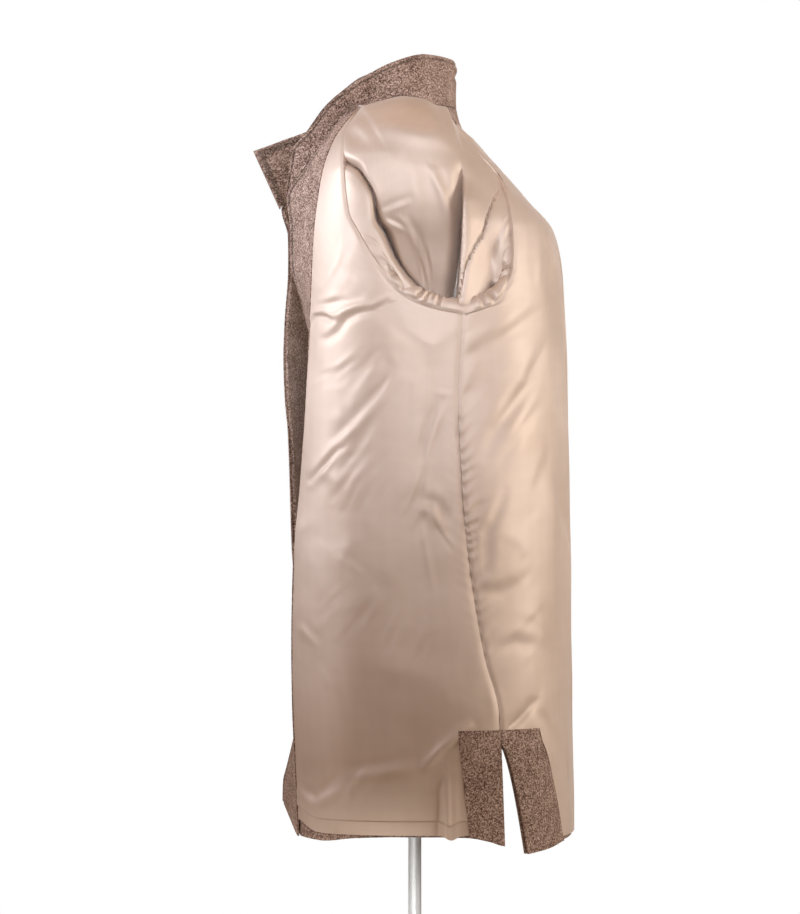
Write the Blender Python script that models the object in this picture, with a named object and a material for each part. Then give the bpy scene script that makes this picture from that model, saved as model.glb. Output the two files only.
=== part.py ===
"""A wool coat, inside out, on a limbless dress form with a pole and a round base.

The coat faces -Y and its left side is +X. Lengths are metres, Z is up, and the origin is on
the floor under the middle of the base. All cloth lies on one body surface: a rounded section
at each height, from the short table BODY. Seams are heights and depths on that surface, and
each cut piece is the part of it between its seams, given its own layer of thickness.
"""

import math

import bmesh
import bpy
import numpy as np

COLLECTION = "wool_coat_on_dress_form"

# Cloth layers, measured along the body surface's normal.
SEAM_GAP = 0.0003
WOOL = 0.0030
LINING = 0.0010
FACING = 0.0020
WOOL_LAYER = (-WOOL, 0.0)
LINING_LAYER = (SEAM_GAP, SEAM_GAP + LINING)
FACING_LAYER = (SEAM_GAP, SEAM_GAP + FACING)

# Heights of the main lines.
HEM = 0.553
LINING_HEM = 0.566
SLIT_TOP = 0.665
SLIT_FACING_TOP = 0.681
UNDERARM = 1.138
COLLAR_END = 1.272
NECK_FACING_LOW = 1.36
NECK = 1.385

# Rows of each panel, from the hem to the neck seam.
ROWS = [HEM, LINING_HEM, 0.61, SLIT_TOP, SLIT_FACING_TOP, 0.76, 0.85, 0.94, 1.02, 1.09, UNDERARM,
        1.143, 1.150, 1.165, 1.182, 1.205, 1.235, COLLAR_END, 1.30, 1.33, NECK_FACING_LOW, NECK]
# Columns of a front: 0 is the side or raglan seam, 1 the lining's edge, 2 the front edge.
FRONT_COLUMNS = [0.0, 0.095, 0.19, 0.34, 0.5, 0.67, 0.84, 1.0, 1.5, 2.0]
FRONT_SLIT_COLUMN = 2
FRONT_LINING_COLUMN = 7
# Columns of the back: -1 is the right seam, 0 the centre, 1 the left seam.
BACK_HALF = [1.0, 0.895, 0.79, 0.6, 0.4, 0.2]
BACK_COLUMNS = [-v for v in BACK_HALF] + [0.0] + BACK_HALF[::-1]
BACK_SLIT_COLUMN = 2
HEM_DROP_BACK = 0.010
# How far the wool's hem rises, by the share across a front and across half of the back.
FRONT_HEM = {"z": FRONT_COLUMNS,
             "rise": [0.0, 0.006, 0.010, 0.011, 0.011, 0.009, 0.004, 0.006, 0.022, 0.040]}
BACK_HEM = {"z": [0.0, 0.4, 0.79, 0.895, 1.0], "rise": [0.010, 0.010, 0.009, 0.004, 0.0]}

# The body section at each height. edge_y is the depth of the lining's front edge, and
# edge_share is where that edge lies, as a share of the half width.
SQUARENESS = 2.6
BODY = {
    "z":          [0.53, 0.62, 0.70, 0.77, 0.87, 0.96, 1.05, 1.138, 1.19, 1.235, 1.272, 1.30,
                   1.33, 1.36, 1.385, 1.40],
    "edge_y":     [-0.128, -0.131, -0.135, -0.136, -0.134, -0.126, -0.120, -0.116, -0.114,
                   -0.111, -0.107, -0.102, -0.092, -0.076, -0.064, -0.060],
    "back_y":     [0.181, 0.180, 0.177, 0.176, 0.175, 0.173, 0.171, 0.168, 0.166, 0.158, 0.129,
                   0.104, 0.076, 0.052, 0.046, 0.044],
    "half_width": [0.214, 0.214, 0.214, 0.213, 0.211, 0.209, 0.207, 0.206, 0.205, 0.203, 0.200,
                   0.196, 0.186, 0.155, 0.098, 0.084],
    "edge_share": [0.66, 0.66, 0.66, 0.66, 0.66, 0.66, 0.66, 0.66, 0.68, 0.70, 0.71, 0.72, 0.74,
                   0.80, 0.93, 0.95],
}
# Raglan seams: depth at each height, from the underarm up to the neck.
RAGLAN_FRONT = {
    "z": [1.138, 1.143, 1.150, 1.165, 1.196, 1.232, 1.25, 1.278, 1.316, 1.34, 1.36, 1.40],
    "y": [0.052, 0.027, 0.006, -0.018, -0.043, -0.064, -0.073, -0.077, -0.079, -0.078, -0.071,
          -0.052],
}
RAGLAN_BACK = {
    "z": [1.138, 1.143, 1.150, 1.165, 1.19, 1.21, 1.235, 1.26, 1.282, 1.295, 1.33, 1.385, 1.40],
    "y": [0.052, 0.070, 0.087, 0.098, 0.107, 0.108, 0.107, 0.104, 0.098, 0.092, 0.062, 0.034,
          0.030],
}
# Side seams, and how far the front and the back part from each other at the slit's hem.
SIDE_LEFT = {
    "z":    [0.53, 0.665, 0.70, 0.756, 0.812, 0.87, 0.95, 1.05, 1.138],
    "seam": [0.0985, 0.0937, 0.092, 0.0773, 0.0663, 0.058, 0.051, 0.047, 0.052],
}
SIDE_RIGHT = {
    "z":    [0.53, 0.665, 0.70, 0.756, 0.812, 0.87, 0.95, 1.05, 1.138],
    "seam": [0.1060, 0.1030, 0.100, 0.0833, 0.0703, 0.060, 0.051, 0.047, 0.052],
}
SLIT_LEFT = {"front": 0.0, "back": 0.020}
SLIT_RIGHT = {"front": -0.009, "back": 0.032}
# Front edges up to the collar's end, and from there the neck seam up to the raglan seam.
FRONT_EDGE_LEFT = {
    "z": [0.53, 0.555, 0.585, 0.61, 0.66, 0.72, 0.90, 1.08, 1.14, 1.157, 1.20, 1.24, 1.272, 1.30,
          1.33, 1.36, 1.385, 1.40],
    "x": [0.062, 0.064, 0.068, 0.068, 0.058, 0.040, 0.034, 0.042, 0.066, 0.076, 0.090, 0.096,
          0.100, 0.106, 0.110, 0.106, 0.092, 0.088],
    "y": [-0.122, -0.126, -0.145, -0.147, -0.136, -0.128, -0.122, -0.110, -0.123, -0.127, -0.139,
          -0.140, -0.144, -0.126, -0.105, -0.085, -0.070, -0.062],
}
FRONT_EDGE_RIGHT = {
    "z": [0.53, 0.585, 0.66, 0.72, 0.80, 0.87, 0.936, 1.01, 1.05, 1.10, 1.14, 1.20, 1.24, 1.272,
          1.30, 1.33, 1.36, 1.385, 1.40],
    "x": [0.062, 0.064, 0.054, 0.044, 0.040, 0.040, 0.042, 0.046, 0.052, 0.062, 0.072, 0.088,
          0.096, 0.100, 0.106, 0.110, 0.106, 0.092, 0.088],
    "y": [-0.126, -0.132, -0.130, -0.130, -0.133, -0.1405, -0.143, -0.146, -0.150, -0.152, -0.151,
          -0.1475, -0.148, -0.156, -0.135, -0.110, -0.087, -0.070, -0.062],
}
# The collar's upper edge, from the centre back to each front corner.
COLLAR_THICKNESS = (-0.0030, 0.0023)
COLLAR_SEAT = 0.0042
COLLAR_ROWS = [0.0, 0.33, 0.67, 1.0]
COLLAR_TOP_LEFT = {
    "x": [0.0, 0.058, 0.084, 0.096, 0.102, 0.106, 0.101],
    "y": [0.046, 0.014, -0.027, -0.059, -0.091, -0.116, -0.137],
    "z": [1.436, 1.439, 1.426, 1.408, 1.3845, 1.3515, 1.329],
}
COLLAR_TOP_RIGHT = {
    "x": [0.0, 0.058, 0.084, 0.096, 0.104, 0.102, 0.096],
    "y": [0.046, 0.014, -0.027, -0.070, -0.120, -0.155, -0.189],
    "z": [1.436, 1.439, 1.430, 1.404, 1.367, 1.3535, 1.340],
}
# Sleeves: how the cloth leaves the armhole seam at each height of the seam, towards the flat
# tube inside the body. lead is the first direction, drop and out shape the way into the tube,
# and turn is the place on the tube, with its front fold at 0 and its back fold at 180 degrees.
SLEEVE_FRONT = {
    "z":      [1.138, 1.165, 1.205, 1.272, 1.33, 1.385],
    "lead_x": [0.002, 0.002, -0.006, -0.020, 0.012, 0.125],
    "lead_y": [0.0, 0.004, 0.012, 0.022, 0.012, 0.0],
    "lead_z": [0.022, 0.018, 0.008, -0.004, -0.008, 0.0],
    "drop":   [0.045, 0.050, 0.065, 0.090, 0.120, 0.150],
    "out":    [-0.003, -0.003, -0.002, -0.004, 0.012, 0.030],
    "turn":   [-90.0, -40.0, 0.0, 22.0, 40.0, 55.0],
}
SLEEVE_BACK = {
    "z":      [1.138, 1.165, 1.205, 1.272, 1.33, 1.385],
    "lead_x": [0.002, 0.001, -0.010, 0.004, 0.045, 0.125],
    "lead_y": [0.0, -0.008, -0.016, -0.018, -0.010, 0.0],
    "lead_z": [0.022, 0.014, 0.002, -0.006, -0.006, 0.0],
    "drop":   [0.045, 0.050, 0.065, 0.090, 0.120, 0.150],
    "out":    [-0.003, -0.006, -0.006, 0.004, 0.016, 0.030],
    "turn":   [-90.0, -140.0, -185.0, -205.0, -220.0, -235.0],
}
NECK_CELLS = 5
SLEEVE_STEPS = [0.0, 0.14, 0.29, 0.45, 0.62, 0.8, 1.0]
TUBE_ROWS = [1.115, 0.96, 0.80]
TUBE_CENTRE = (0.1765, 0.044)
TUBE_HALF = (0.0100, 0.048)

# The dress form: half width, front and back depth at each height.
FORM_SIDES = 22
FORM = {
    "z":     [0.70, 0.715, 0.76, 0.86, 0.96, 1.06, 1.16, 1.25, 1.30, 1.331, 1.3545, 1.371, 1.3825,
              1.395, 1.410, 1.418],
    "width": [0.120, 0.136, 0.146, 0.152, 0.136, 0.132, 0.146, 0.152, 0.154, 0.154, 0.149, 0.127,
              0.0945, 0.064, 0.056, 0.046],
    "front": [-0.075, -0.088, -0.096, -0.098, -0.084, -0.090, -0.102, -0.094, -0.078, -0.072,
              -0.068, -0.066, -0.065, -0.064, -0.064, -0.056],
    "back":  [0.105, 0.120, 0.132, 0.142, 0.126, 0.128, 0.138, 0.136, 0.0935, 0.0685, 0.0512, 0.0424,
              0.038, 0.032, 0.030, 0.022],
}
POLE_RADIUS = 0.0075
POLE_TOP = 0.6997
BASE_RADIUS = 0.18
BASE_THICKNESS = 0.006
BASE_EDGE = 0.002
HUB_RADIUS = 0.020
HUB_HEIGHT = 0.024
ROUND_SIDES = 32

LEFT, RIGHT = 1.0, -1.0
SIDES = {"left": LEFT, "right": RIGHT}
SIDE_SEAM = {LEFT: SIDE_LEFT, RIGHT: SIDE_RIGHT}
SLIT = {LEFT: SLIT_LEFT, RIGHT: SLIT_RIGHT}
FRONT_EDGE = {LEFT: FRONT_EDGE_LEFT, RIGHT: FRONT_EDGE_RIGHT}
COLLAR_TOP = {LEFT: COLLAR_TOP_LEFT, RIGHT: COLLAR_TOP_RIGHT}

# Name, sRGB hex, roughness, metallic.
FINISHES = {
    "wool": ("#8C7466", 0.95, 0.0),
    "lining": ("#D8C4B2", 0.38, 0.0),
    "form": ("#E9E4DA", 0.85, 0.0),
    "steel": ("#A9ABAB", 0.30, 1.0),
}


def along(table, column, z):
    """Reads a table's column at a height by a smooth curve that never overshoots its rows."""
    xs, ys = np.array(table["z"]), np.array(table[column])
    steps = np.diff(xs)
    slopes = np.diff(ys) / steps
    product = slopes[1:] * slopes[:-1]
    total = np.where(product > 0, slopes[1:] + slopes[:-1], 1.0)
    inner = np.where(product > 0, 2 * product / total, 0.0)
    tangents = np.concatenate([slopes[:1], inner, slopes[-1:]])
    i = int(np.clip(np.searchsorted(xs, z) - 1, 0, len(steps) - 1))
    t = float(np.clip((z - xs[i]) / steps[i], 0.0, 1.0))
    h = steps[i]
    return ((1 + 2 * t) * (1 - t) ** 2 * ys[i] + t * (1 - t) ** 2 * h * tangents[i]
            + t * t * (3 - 2 * t) * ys[i + 1] + t * t * (t - 1) * h * tangents[i + 1])


def section(z):
    """Gives the body section's half width, half depth and middle at a height."""
    width = along(BODY, "half_width", z)
    back = along(BODY, "back_y", z)
    share = along(BODY, "edge_share", z)
    edge_rise = (1 - share ** SQUARENESS) ** (1 / SQUARENESS)
    depth = (back - along(BODY, "edge_y", z)) / (1 + edge_rise)
    return width, depth, back - depth


def body_point(side, angle, z):
    """A point of the body surface. The angle is 0 at the centre back and pi at the front."""
    width, depth, middle = section(z)
    c, s = math.cos(angle), math.sin(angle)
    reach = (abs(c / depth) ** SQUARENESS + abs(s / width) ** SQUARENESS) ** (-1 / SQUARENESS)
    return np.array([side * reach * s, middle + reach * c, z])


def angle_at(y, z):
    """The angle on the body surface at which a seam lies, from its depth."""
    width, depth, middle = section(z)
    share = min(1.0, abs(y - middle) / depth)
    return math.atan2(width * (1 - share ** SQUARENESS) ** (1 / SQUARENESS), y - middle)


def below_slit(z):
    """How far down the slit a height lies: 0 at its top and 1 at the hem."""
    return max(0.0, SLIT_TOP - z) / (SLIT_TOP - HEM)


def hem_rise(table, share, z, top):
    """How far a panel's lower edge is drawn up at a share across it, fading out at a height."""
    return along(table, "rise", share) * max(0.0, top - z) / (top - HEM)


def seam_angle(side, z, panel):
    """The seam that bounds a front or back panel on its outer side, at a height."""
    if z <= UNDERARM:
        opening = SLIT[side][panel] * below_slit(z)
        return angle_at(along(SIDE_SEAM[side], "seam", z) + opening, z)
    raglan = RAGLAN_FRONT if panel == "front" else RAGLAN_BACK
    return angle_at(along(raglan, "y", z), z)


def front_point(side, u, z):
    """A point of a front, across its lining (u from 0 to 1) and its facing (u from 1 to 2)."""
    edge = angle_at(along(BODY, "edge_y", z), z)
    if u <= 1.0:
        seam = seam_angle(side, z, "front")
        point = body_point(side, seam + (edge - seam) * u, z)
        point[2] += hem_rise(FRONT_HEM, u, z, LINING_HEM)
        return point
    start = body_point(side, edge, z)
    table = FRONT_EDGE[side]
    end = np.array([side * along(table, "x", z), along(table, "y", z), z])
    point = start + (end - start) * (u - 1.0)
    point[2] += hem_rise(FRONT_HEM, u, z, SLIT_FACING_TOP)
    return point


def back_point(v, z):
    """A point of the back between its right seam (v is -1) and its left seam (v is 1)."""
    side = RIGHT if v < 0 else LEFT
    point = body_point(side, seam_angle(side, z, "back") * abs(v), z)
    point[2] += hem_rise(BACK_HEM, abs(v), z, LINING_HEM) - HEM_DROP_BACK * below_slit(z)
    return point


def normal_of(point_at, a, z, outward):
    """The unit normal of a surface by small steps each way, turned outward."""
    da, dz = 0.004, 0.0015
    across = point_at(a + da, z) - point_at(a - da, z)
    up = point_at(a, z + dz) - point_at(a, z - dz)
    normal = np.cross(across, up)
    normal /= np.linalg.norm(normal)
    return normal if np.dot(normal, outward) > 0 else -normal


def panel(point_at, columns, rows):
    """Points and normals of a panel, as arrays by row and column."""
    points = np.array([[point_at(a, z) for a in columns] for z in rows])
    axis = np.array([0.0, 0.02, 0.0])
    normals = np.array([[normal_of(point_at, a, z, (point_at(a, z) - axis) * (1, 1, 0))
                         for a in columns] for z in rows])
    return points, normals


def unit(vector):
    """A vector of length one, or the zero vector where it has no length."""
    length = np.linalg.norm(vector)
    return vector / length if length > 0 else vector


def framed(cells, closed):
    """Cells with a border: empty ones round the piece, or its own ones across a closed seam."""
    sides = np.pad(cells, ((0, 0), (1, 1)), mode="wrap" if closed else "constant")
    return np.pad(sides, ((1, 1), (0, 0)))


def trimmed(points, border, trim):
    """Moves each free edge of a piece inwards, so that pieces stay apart at their seams."""
    result = points.copy()
    for i in range(points.shape[0]):
        for j in range(points.shape[1]):
            around = border[i:i + 2, j:j + 2]
            if around.all() or not around.any():
                continue
            low, high = around.any(axis=1)
            near, far = around.any(axis=0)
            step_i, step_j = int(high) - int(low), int(far) - int(near)
            if around.sum() == 3:
                gone_i, gone_j = np.argwhere(~around)[0]
                step_i, step_j = (1 - 2 * gone_i), (1 - 2 * gone_j)
            if step_i:
                result[i, j] += trim * unit(points[i + step_i, j] - points[i, j])
            if step_j:
                result[i, j] += trim * unit(points[i, j + step_j] - points[i, j])
    return result


def wall(name, points, normals, layer, finish, cells=None, trim=SEAM_GAP / 2, closed=False):
    """A cloth wall: a loft through unlike rows, with an inner and an outer face and a rim.

    Faces and rims are split along the same diagonals, so that neighbours stay apart.
    """
    rows, count = points.shape[0] - 1, points.shape[1]
    if cells is None:
        cells = np.ones((rows, count if closed else count - 1), bool)
    border = framed(cells, closed)
    points = trimmed(points, border, trim)
    mesh = bmesh.new()
    skins = []
    for offset in layer:
        skin = {}
        for i, j in np.argwhere(cells):
            for a, b in ((i, j), (i, j + 1), (i + 1, j + 1), (i + 1, j)):
                place = (a, b % count)
                if place not in skin:
                    skin[place] = mesh.verts.new(points[place] + normals[place] * offset)
        skins.append(skin)
    inner, outer = skins
    for i, j in np.argwhere(cells):
        after = (j + 1) % count
        ring = [(i, j), (i, after), (i + 1, after), (i + 1, j)]
        for half in ((0, 1, 2), (0, 2, 3)):
            mesh.faces.new([outer[ring[k]] for k in half])
            mesh.faces.new([inner[ring[k]] for k in reversed(half)])
        for side, (a, b) in enumerate([(i - 1, j), (i, j + 1), (i + 1, j), (i, j - 1)]):
            if not border[a + 1, b + 1]:
                start, end = ring[side], ring[(side + 1) % 4]
                low = start if points[start][2] < points[end][2] else end
                high = end if low == start else start
                mesh.faces.new([outer[low], inner[high], outer[high]])
                mesh.faces.new([outer[low], inner[low], inner[high]])
    return finished(name, mesh, finish)


def finished(name, mesh, finish):
    """Makes a mesh with its faces pointing out into a named, smooth object."""
    bmesh.ops.recalc_face_normals(mesh, faces=mesh.faces)
    if mesh.calc_volume(signed=True) < 0:
        bmesh.ops.reverse_faces(mesh, faces=mesh.faces)
    data = bpy.data.meshes.new(name)
    mesh.to_mesh(data)
    mesh.free()
    data.shade_smooth()
    data.set_sharp_from_angle(angle=math.radians(40))
    item = bpy.data.objects.new(name, data)
    item.data.materials.append(material(name, finish))
    bpy.data.collections[COLLECTION].objects.link(item)
    return item


def material(name, finish):
    """A plain finish of its own for a piece."""
    colour, roughness, metallic = FINISHES[finish]
    item = bpy.data.materials.new(f"{finish}_{name}")
    item.use_nodes = True
    shader = item.node_tree.nodes["Principled BSDF"]
    channels = [int(colour[k:k + 2], 16) / 255 for k in (1, 3, 5)]
    linear = [c / 12.92 if c <= 0.04045 else ((c + 0.055) / 1.055) ** 2.4 for c in channels]
    shader.inputs["Base Color"].default_value = (*linear, 1.0)
    shader.inputs["Roughness"].default_value = roughness
    shader.inputs["Metallic"].default_value = metallic
    return item


def row_index(z):
    """The row of the panels at a named height."""
    return ROWS.index(z)


def build_front(name, side):
    """A front: wool shell, lining, front facing and the slit's facing on that side."""
    points, normals = panel(lambda u, z: front_point(side, u, z), FRONT_COLUMNS, ROWS)
    wall(f"front_{name}", points, normals, WOOL_LAYER, "wool")
    shape = (len(ROWS) - 1, len(FRONT_COLUMNS) - 1)
    low, top = row_index(LINING_HEM), row_index(SLIT_FACING_TOP)
    slit = np.zeros(shape, bool)
    slit[:top, :FRONT_SLIT_COLUMN] = True
    facing = np.zeros(shape, bool)
    facing[:, FRONT_LINING_COLUMN:] = True
    lining = ~slit & ~facing
    lining[:low] = False
    wall(f"lining_front_{name}", points, normals, LINING_LAYER, "lining", lining)
    wall(f"front_facing_{name}", points, normals, FACING_LAYER, "wool", facing)
    wall(f"slit_facing_front_{name}", points, normals, FACING_LAYER, "wool", slit)
    return points, normals


def build_back():
    """The back: wool shell, lining, the neck's facing and the slits' facings on both sides."""
    points, normals = panel(back_point, BACK_COLUMNS, ROWS)
    wall("back", points, normals, WOOL_LAYER, "wool")
    shape = (len(ROWS) - 1, len(BACK_COLUMNS) - 1)
    low, top = row_index(LINING_HEM), row_index(SLIT_FACING_TOP)
    right, left = np.zeros(shape, bool), np.zeros(shape, bool)
    right[:top, :BACK_SLIT_COLUMN] = True
    left[:top, -BACK_SLIT_COLUMN:] = True
    neck = np.zeros(shape, bool)
    neck[row_index(NECK_FACING_LOW):] = True
    lining = ~right & ~left & ~neck
    lining[:low] = False
    wall("lining_back", points, normals, LINING_LAYER, "lining", lining)
    wall("back_neck_facing", points, normals, FACING_LAYER, "wool", neck)
    wall("slit_facing_back_right", points, normals, FACING_LAYER, "wool", right)
    wall("slit_facing_back_left", points, normals, FACING_LAYER, "wool", left)
    return points, normals


def tube_point(side, turn, z):
    """A point of the sleeve's flat tube inside the body."""
    angle = math.radians(turn)
    x = TUBE_CENTRE[0] - TUBE_HALF[0] * math.sin(angle)
    return np.array([side * x, TUBE_CENTRE[1] - TUBE_HALF[1] * math.cos(angle), z])


def armhole(side):
    """The armhole seam as angle, height and sleeve table: down the front, up the back, and
    along the neck. The last column gives the share of the way along the neck."""
    low, top = row_index(UNDERARM), len(ROWS)
    front = [(seam_angle(side, z, "front"), z, 1.0) for z in reversed(ROWS[low:top])]
    back = [(seam_angle(side, z, "back"), z, 0.0) for z in ROWS[low + 1:top]]
    start, end = back[-1][0], front[0][0]
    neck = [(start + (end - start) * k / NECK_CELLS, NECK, k / NECK_CELLS)
            for k in range(1, NECK_CELLS)]
    return front + back + neck


def sleeve_path(side, angle, z, share):
    """Points from the armhole seam along the sleeve to its cuff."""
    seam = body_point(side, angle, z)
    get = {c: share * along(SLEEVE_FRONT, c, z) + (1 - share) * along(SLEEVE_BACK, c, z)
           for c in ("lead_x", "lead_y", "lead_z", "drop", "out")}
    front_turn, back_turn = along(SLEEVE_FRONT, "turn", z), along(SLEEVE_BACK, "turn", z)
    turn = share * (front_turn if z < NECK else front_turn - 360.0) + (1 - share) * back_turn
    mouth = tube_point(side, turn, TUBE_ROWS[0])
    first = seam + np.array([side * get["lead_x"], get["lead_y"], get["lead_z"]])
    second = mouth + np.array([side * get["out"], 0.0, get["drop"]])
    path = [(1 - t) ** 3 * seam + 3 * t * (1 - t) ** 2 * first + 3 * t * t * (1 - t) * second
            + t ** 3 * mouth for t in SLEEVE_STEPS]
    return path + [tube_point(side, turn, height) for height in TUBE_ROWS[1:]]


def grid_normals(points, outward, closed=False):
    """Normals of a grid of points by their neighbours, turned to agree with a direction."""
    if closed:
        across = np.roll(points, -1, axis=1) - np.roll(points, 1, axis=1)
    else:
        across = np.gradient(points, axis=1)
    normals = np.cross(np.gradient(points, axis=0), across)
    normals /= np.linalg.norm(normals, axis=2, keepdims=True)
    return normals if np.dot(normals[0, 0], outward) > 0 else -normals


def build_sleeve(name, side):
    """A raglan sleeve and its lining: from the armhole and neck seams over the shoulder and
    the armhole's rolled lower edge, then down inside the body to the open cuff."""
    seam = armhole(side)
    grid = np.array([sleeve_path(side, *place) for place in seam]).transpose(1, 0, 2)
    outward = np.array([side, 0.0, 0.5])
    normals = grid_normals(grid, outward, closed=True)
    for k, (angle, z, _) in enumerate(seam):
        normals[0, k] = normal_of(lambda a, h: body_point(side, a, h), angle, z, outward)
    wall(f"sleeve_{name}", grid, normals, WOOL_LAYER, "wool", trim=SEAM_GAP, closed=True)
    wall(f"sleeve_lining_{name}", grid, normals, LINING_LAYER, "lining", trim=SEAM_GAP,
         closed=True)
    return grid


def spread(points, shares):
    """Points of a smooth curve through a few given points, at shares of the way from its
    middle point to its first (-1) and its last (1)."""
    knots = np.concatenate([[0], np.cumsum(np.linalg.norm(np.diff(points, axis=0), axis=1))])
    knots -= knots[len(points) // 2]
    knots = np.where(knots < 0, knots / -knots[0], knots / knots[-1])
    tables = [{"z": knots, "p": points[:, axis]} for axis in range(3)]
    return np.array([[along(table, "p", s) for table in tables] for s in shares])


def build_collar(back, fronts, sleeves):
    """The standing collar, seated on the neck seam of the back, sleeves and fronts."""
    back_points = back[0]
    centre = len(BACK_COLUMNS) // 2
    halves = {}
    for side in (LEFT, RIGHT):
        step = 1 if side == LEFT else -1
        base = [back_points[-1, centre + step * k] for k in range(len(BACK_HALF) + 1)]
        lift = [unit(back_points[-1, centre + step * k] - back_points[-2, centre + step * k])
                for k in range(len(BACK_HALF) + 1)]
        neck, below = sleeves[side][0], sleeves[side][1]
        for k in list(range(1 - NECK_CELLS, 0)) + [0]:
            base.append(neck[k])
            lift.append(unit(neck[k] - below[k]))
        points = fronts[side][0]
        base.append(points[-1, -1])
        lift.append(lift[-1] + unit(points[-1, -1] - points[-1, -2]))
        for i in range(len(ROWS) - 2, row_index(COLLAR_END) - 1, -1):
            base.append(points[i, -1])
            lift.append(unit(points[i, -1] - points[i, -2]))
        base = np.array(base) + COLLAR_SEAT * np.array(lift)
        length = np.concatenate([[0], np.cumsum(np.linalg.norm(np.diff(base, axis=0), axis=1))])
        table = COLLAR_TOP[side]
        rim = np.column_stack([side * np.array(table["x"]), table["y"], table["z"]])
        halves[side] = (base, length / length[-1], rim)
    base = np.concatenate([halves[RIGHT][0][:0:-1], halves[LEFT][0]])
    shares = np.concatenate([-halves[RIGHT][1][:0:-1], halves[LEFT][1]])
    rim = np.concatenate([halves[RIGHT][2][:0:-1], halves[LEFT][2]])
    top = spread(rim, shares)
    grid = np.array([base + (top - base) * share for share in COLLAR_ROWS])
    normals = grid_normals(grid, np.array([-1.0, 0.0, 0.0]))
    wall("collar", grid, normals, COLLAR_THICKNESS, "wool", trim=0.0)


def build_form():
    """The limbless torso: rounded rings lofted from the table, closed above and below."""
    mesh = bmesh.new()
    rings = []
    for z, width, front, back in zip(FORM["z"], FORM["width"], FORM["front"], FORM["back"]):
        middle, depth = (front + back) / 2, (back - front) / 2
        turns = np.linspace(0, 2 * math.pi, FORM_SIDES, endpoint=False)
        rings.append([mesh.verts.new((width * math.sin(t), middle + depth * math.cos(t), z))
                      for t in turns])
    for low, high in zip(rings, rings[1:]):
        for k in range(FORM_SIDES):
            after = (k + 1) % FORM_SIDES
            mesh.faces.new([low[k], low[after], high[after], high[k]])
    mesh.faces.new(rings[0])
    mesh.faces.new(rings[-1])
    finished("form", mesh, "form")


def turned(name, radius, low, high, bevel):
    """A round bar or disc from a cylinder, with its rims eased where a bevel is given."""
    mesh = bmesh.new()
    bmesh.ops.create_cone(mesh, cap_ends=True, segments=ROUND_SIDES, radius1=radius,
                          radius2=radius, depth=high - low)
    bmesh.ops.translate(mesh, verts=mesh.verts, vec=(0.0, 0.0, (low + high) / 2))
    if bevel:
        rims = [e for e in mesh.edges if abs(e.verts[0].co.z - e.verts[1].co.z) < 1e-6
                and e.verts[0].co.z > low + 1e-6]
        bmesh.ops.bevel(mesh, geom=rims, offset=bevel, segments=2, profile=0.5, affect="EDGES")
    return finished(name, mesh, "steel")


def build_stand():
    """The pole under the form, its hub and the round base."""
    turned("base", BASE_RADIUS, 0.0, BASE_THICKNESS, BASE_EDGE)
    hub_top = BASE_THICKNESS + HUB_HEIGHT
    turned("hub", HUB_RADIUS, BASE_THICKNESS + SEAM_GAP, hub_top, BASE_EDGE)
    turned("pole", POLE_RADIUS, hub_top + SEAM_GAP, POLE_TOP, 0.0)


def main():
    """Clears the scene and builds every piece."""
    for item in list(bpy.data.objects):
        bpy.data.objects.remove(item, do_unlink=True)
    group = bpy.data.collections.new(COLLECTION)
    bpy.context.scene.collection.children.link(group)
    fronts = {side: build_front(name, side) for name, side in SIDES.items()}
    back = build_back()
    sleeves = {side: build_sleeve(name, side) for name, side in SIDES.items()}
    build_collar(back, fronts, sleeves)
    build_form()
    build_stand()


main()
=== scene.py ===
"""Looks of a wool coat, turned inside out, on a limbless dress form with a pole and a base.

Lengths are metres in the frame of the CAD solids: the coat faces -Y, its left side is +X and Z
is up. Every piece of cloth is a fine sheet on the same body surface as its solid, with its
creases, puckers and gathers laid on.
"""

import logging
import math
from dataclasses import dataclass, field
from enum import Enum
from typing import Any

import bpy
import numpy as np
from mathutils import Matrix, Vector


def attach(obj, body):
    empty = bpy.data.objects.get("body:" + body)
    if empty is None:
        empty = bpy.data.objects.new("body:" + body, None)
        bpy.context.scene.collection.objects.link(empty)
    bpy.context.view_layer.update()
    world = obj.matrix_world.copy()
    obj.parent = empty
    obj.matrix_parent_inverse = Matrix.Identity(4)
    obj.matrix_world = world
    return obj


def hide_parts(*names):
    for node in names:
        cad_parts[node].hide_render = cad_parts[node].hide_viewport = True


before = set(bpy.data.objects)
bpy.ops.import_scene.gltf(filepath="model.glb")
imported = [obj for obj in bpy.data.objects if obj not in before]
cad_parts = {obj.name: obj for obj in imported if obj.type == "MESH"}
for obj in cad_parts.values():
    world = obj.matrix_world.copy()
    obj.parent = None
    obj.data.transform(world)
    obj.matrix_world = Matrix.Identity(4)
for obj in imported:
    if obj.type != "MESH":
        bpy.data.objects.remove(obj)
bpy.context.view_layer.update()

LOG = logging.getLogger("wool_coat")
BODY_NAME = "root"
NORMAL_STEPS = (0.004, 0.0015)
WELD_DISTANCE = 1e-6
SMOOTH_ANGLE = math.radians(50)
SHARP_ANGLE = math.radians(60)
BEVEL_SEGMENTS = 3
# A sleeve's armhole is far wider than its cuff: its cut fills at least this share of its box.
LEAST_FILL = 0.55


class Side(Enum):
    """A side of the coat, by the sign of its X."""

    LEFT = 1.0
    RIGHT = -1.0

    @property
    def word(self) -> str:
        """The side's name, as the CAD nodes spell it."""
        return self.name.lower()


class Panel(Enum):
    """Which body panel a seam bounds."""

    FRONT = "front"
    BACK = "back"


class Cloth(Enum):
    """A cloth, by the first word of its pieces' names and its slot in the record."""

    SATIN = ("satin", "lining")
    WOOL = ("wool", "wool")


class View(Enum):
    """The side from which a crease is laid out, as its flat axis and its outward direction."""

    LEFT = (1, (1.0, 0.0, 0.0))
    RIGHT = (1, (-1.0, 0.0, 0.0))
    BACK = (0, (0.0, 1.0, 0.0))


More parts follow.
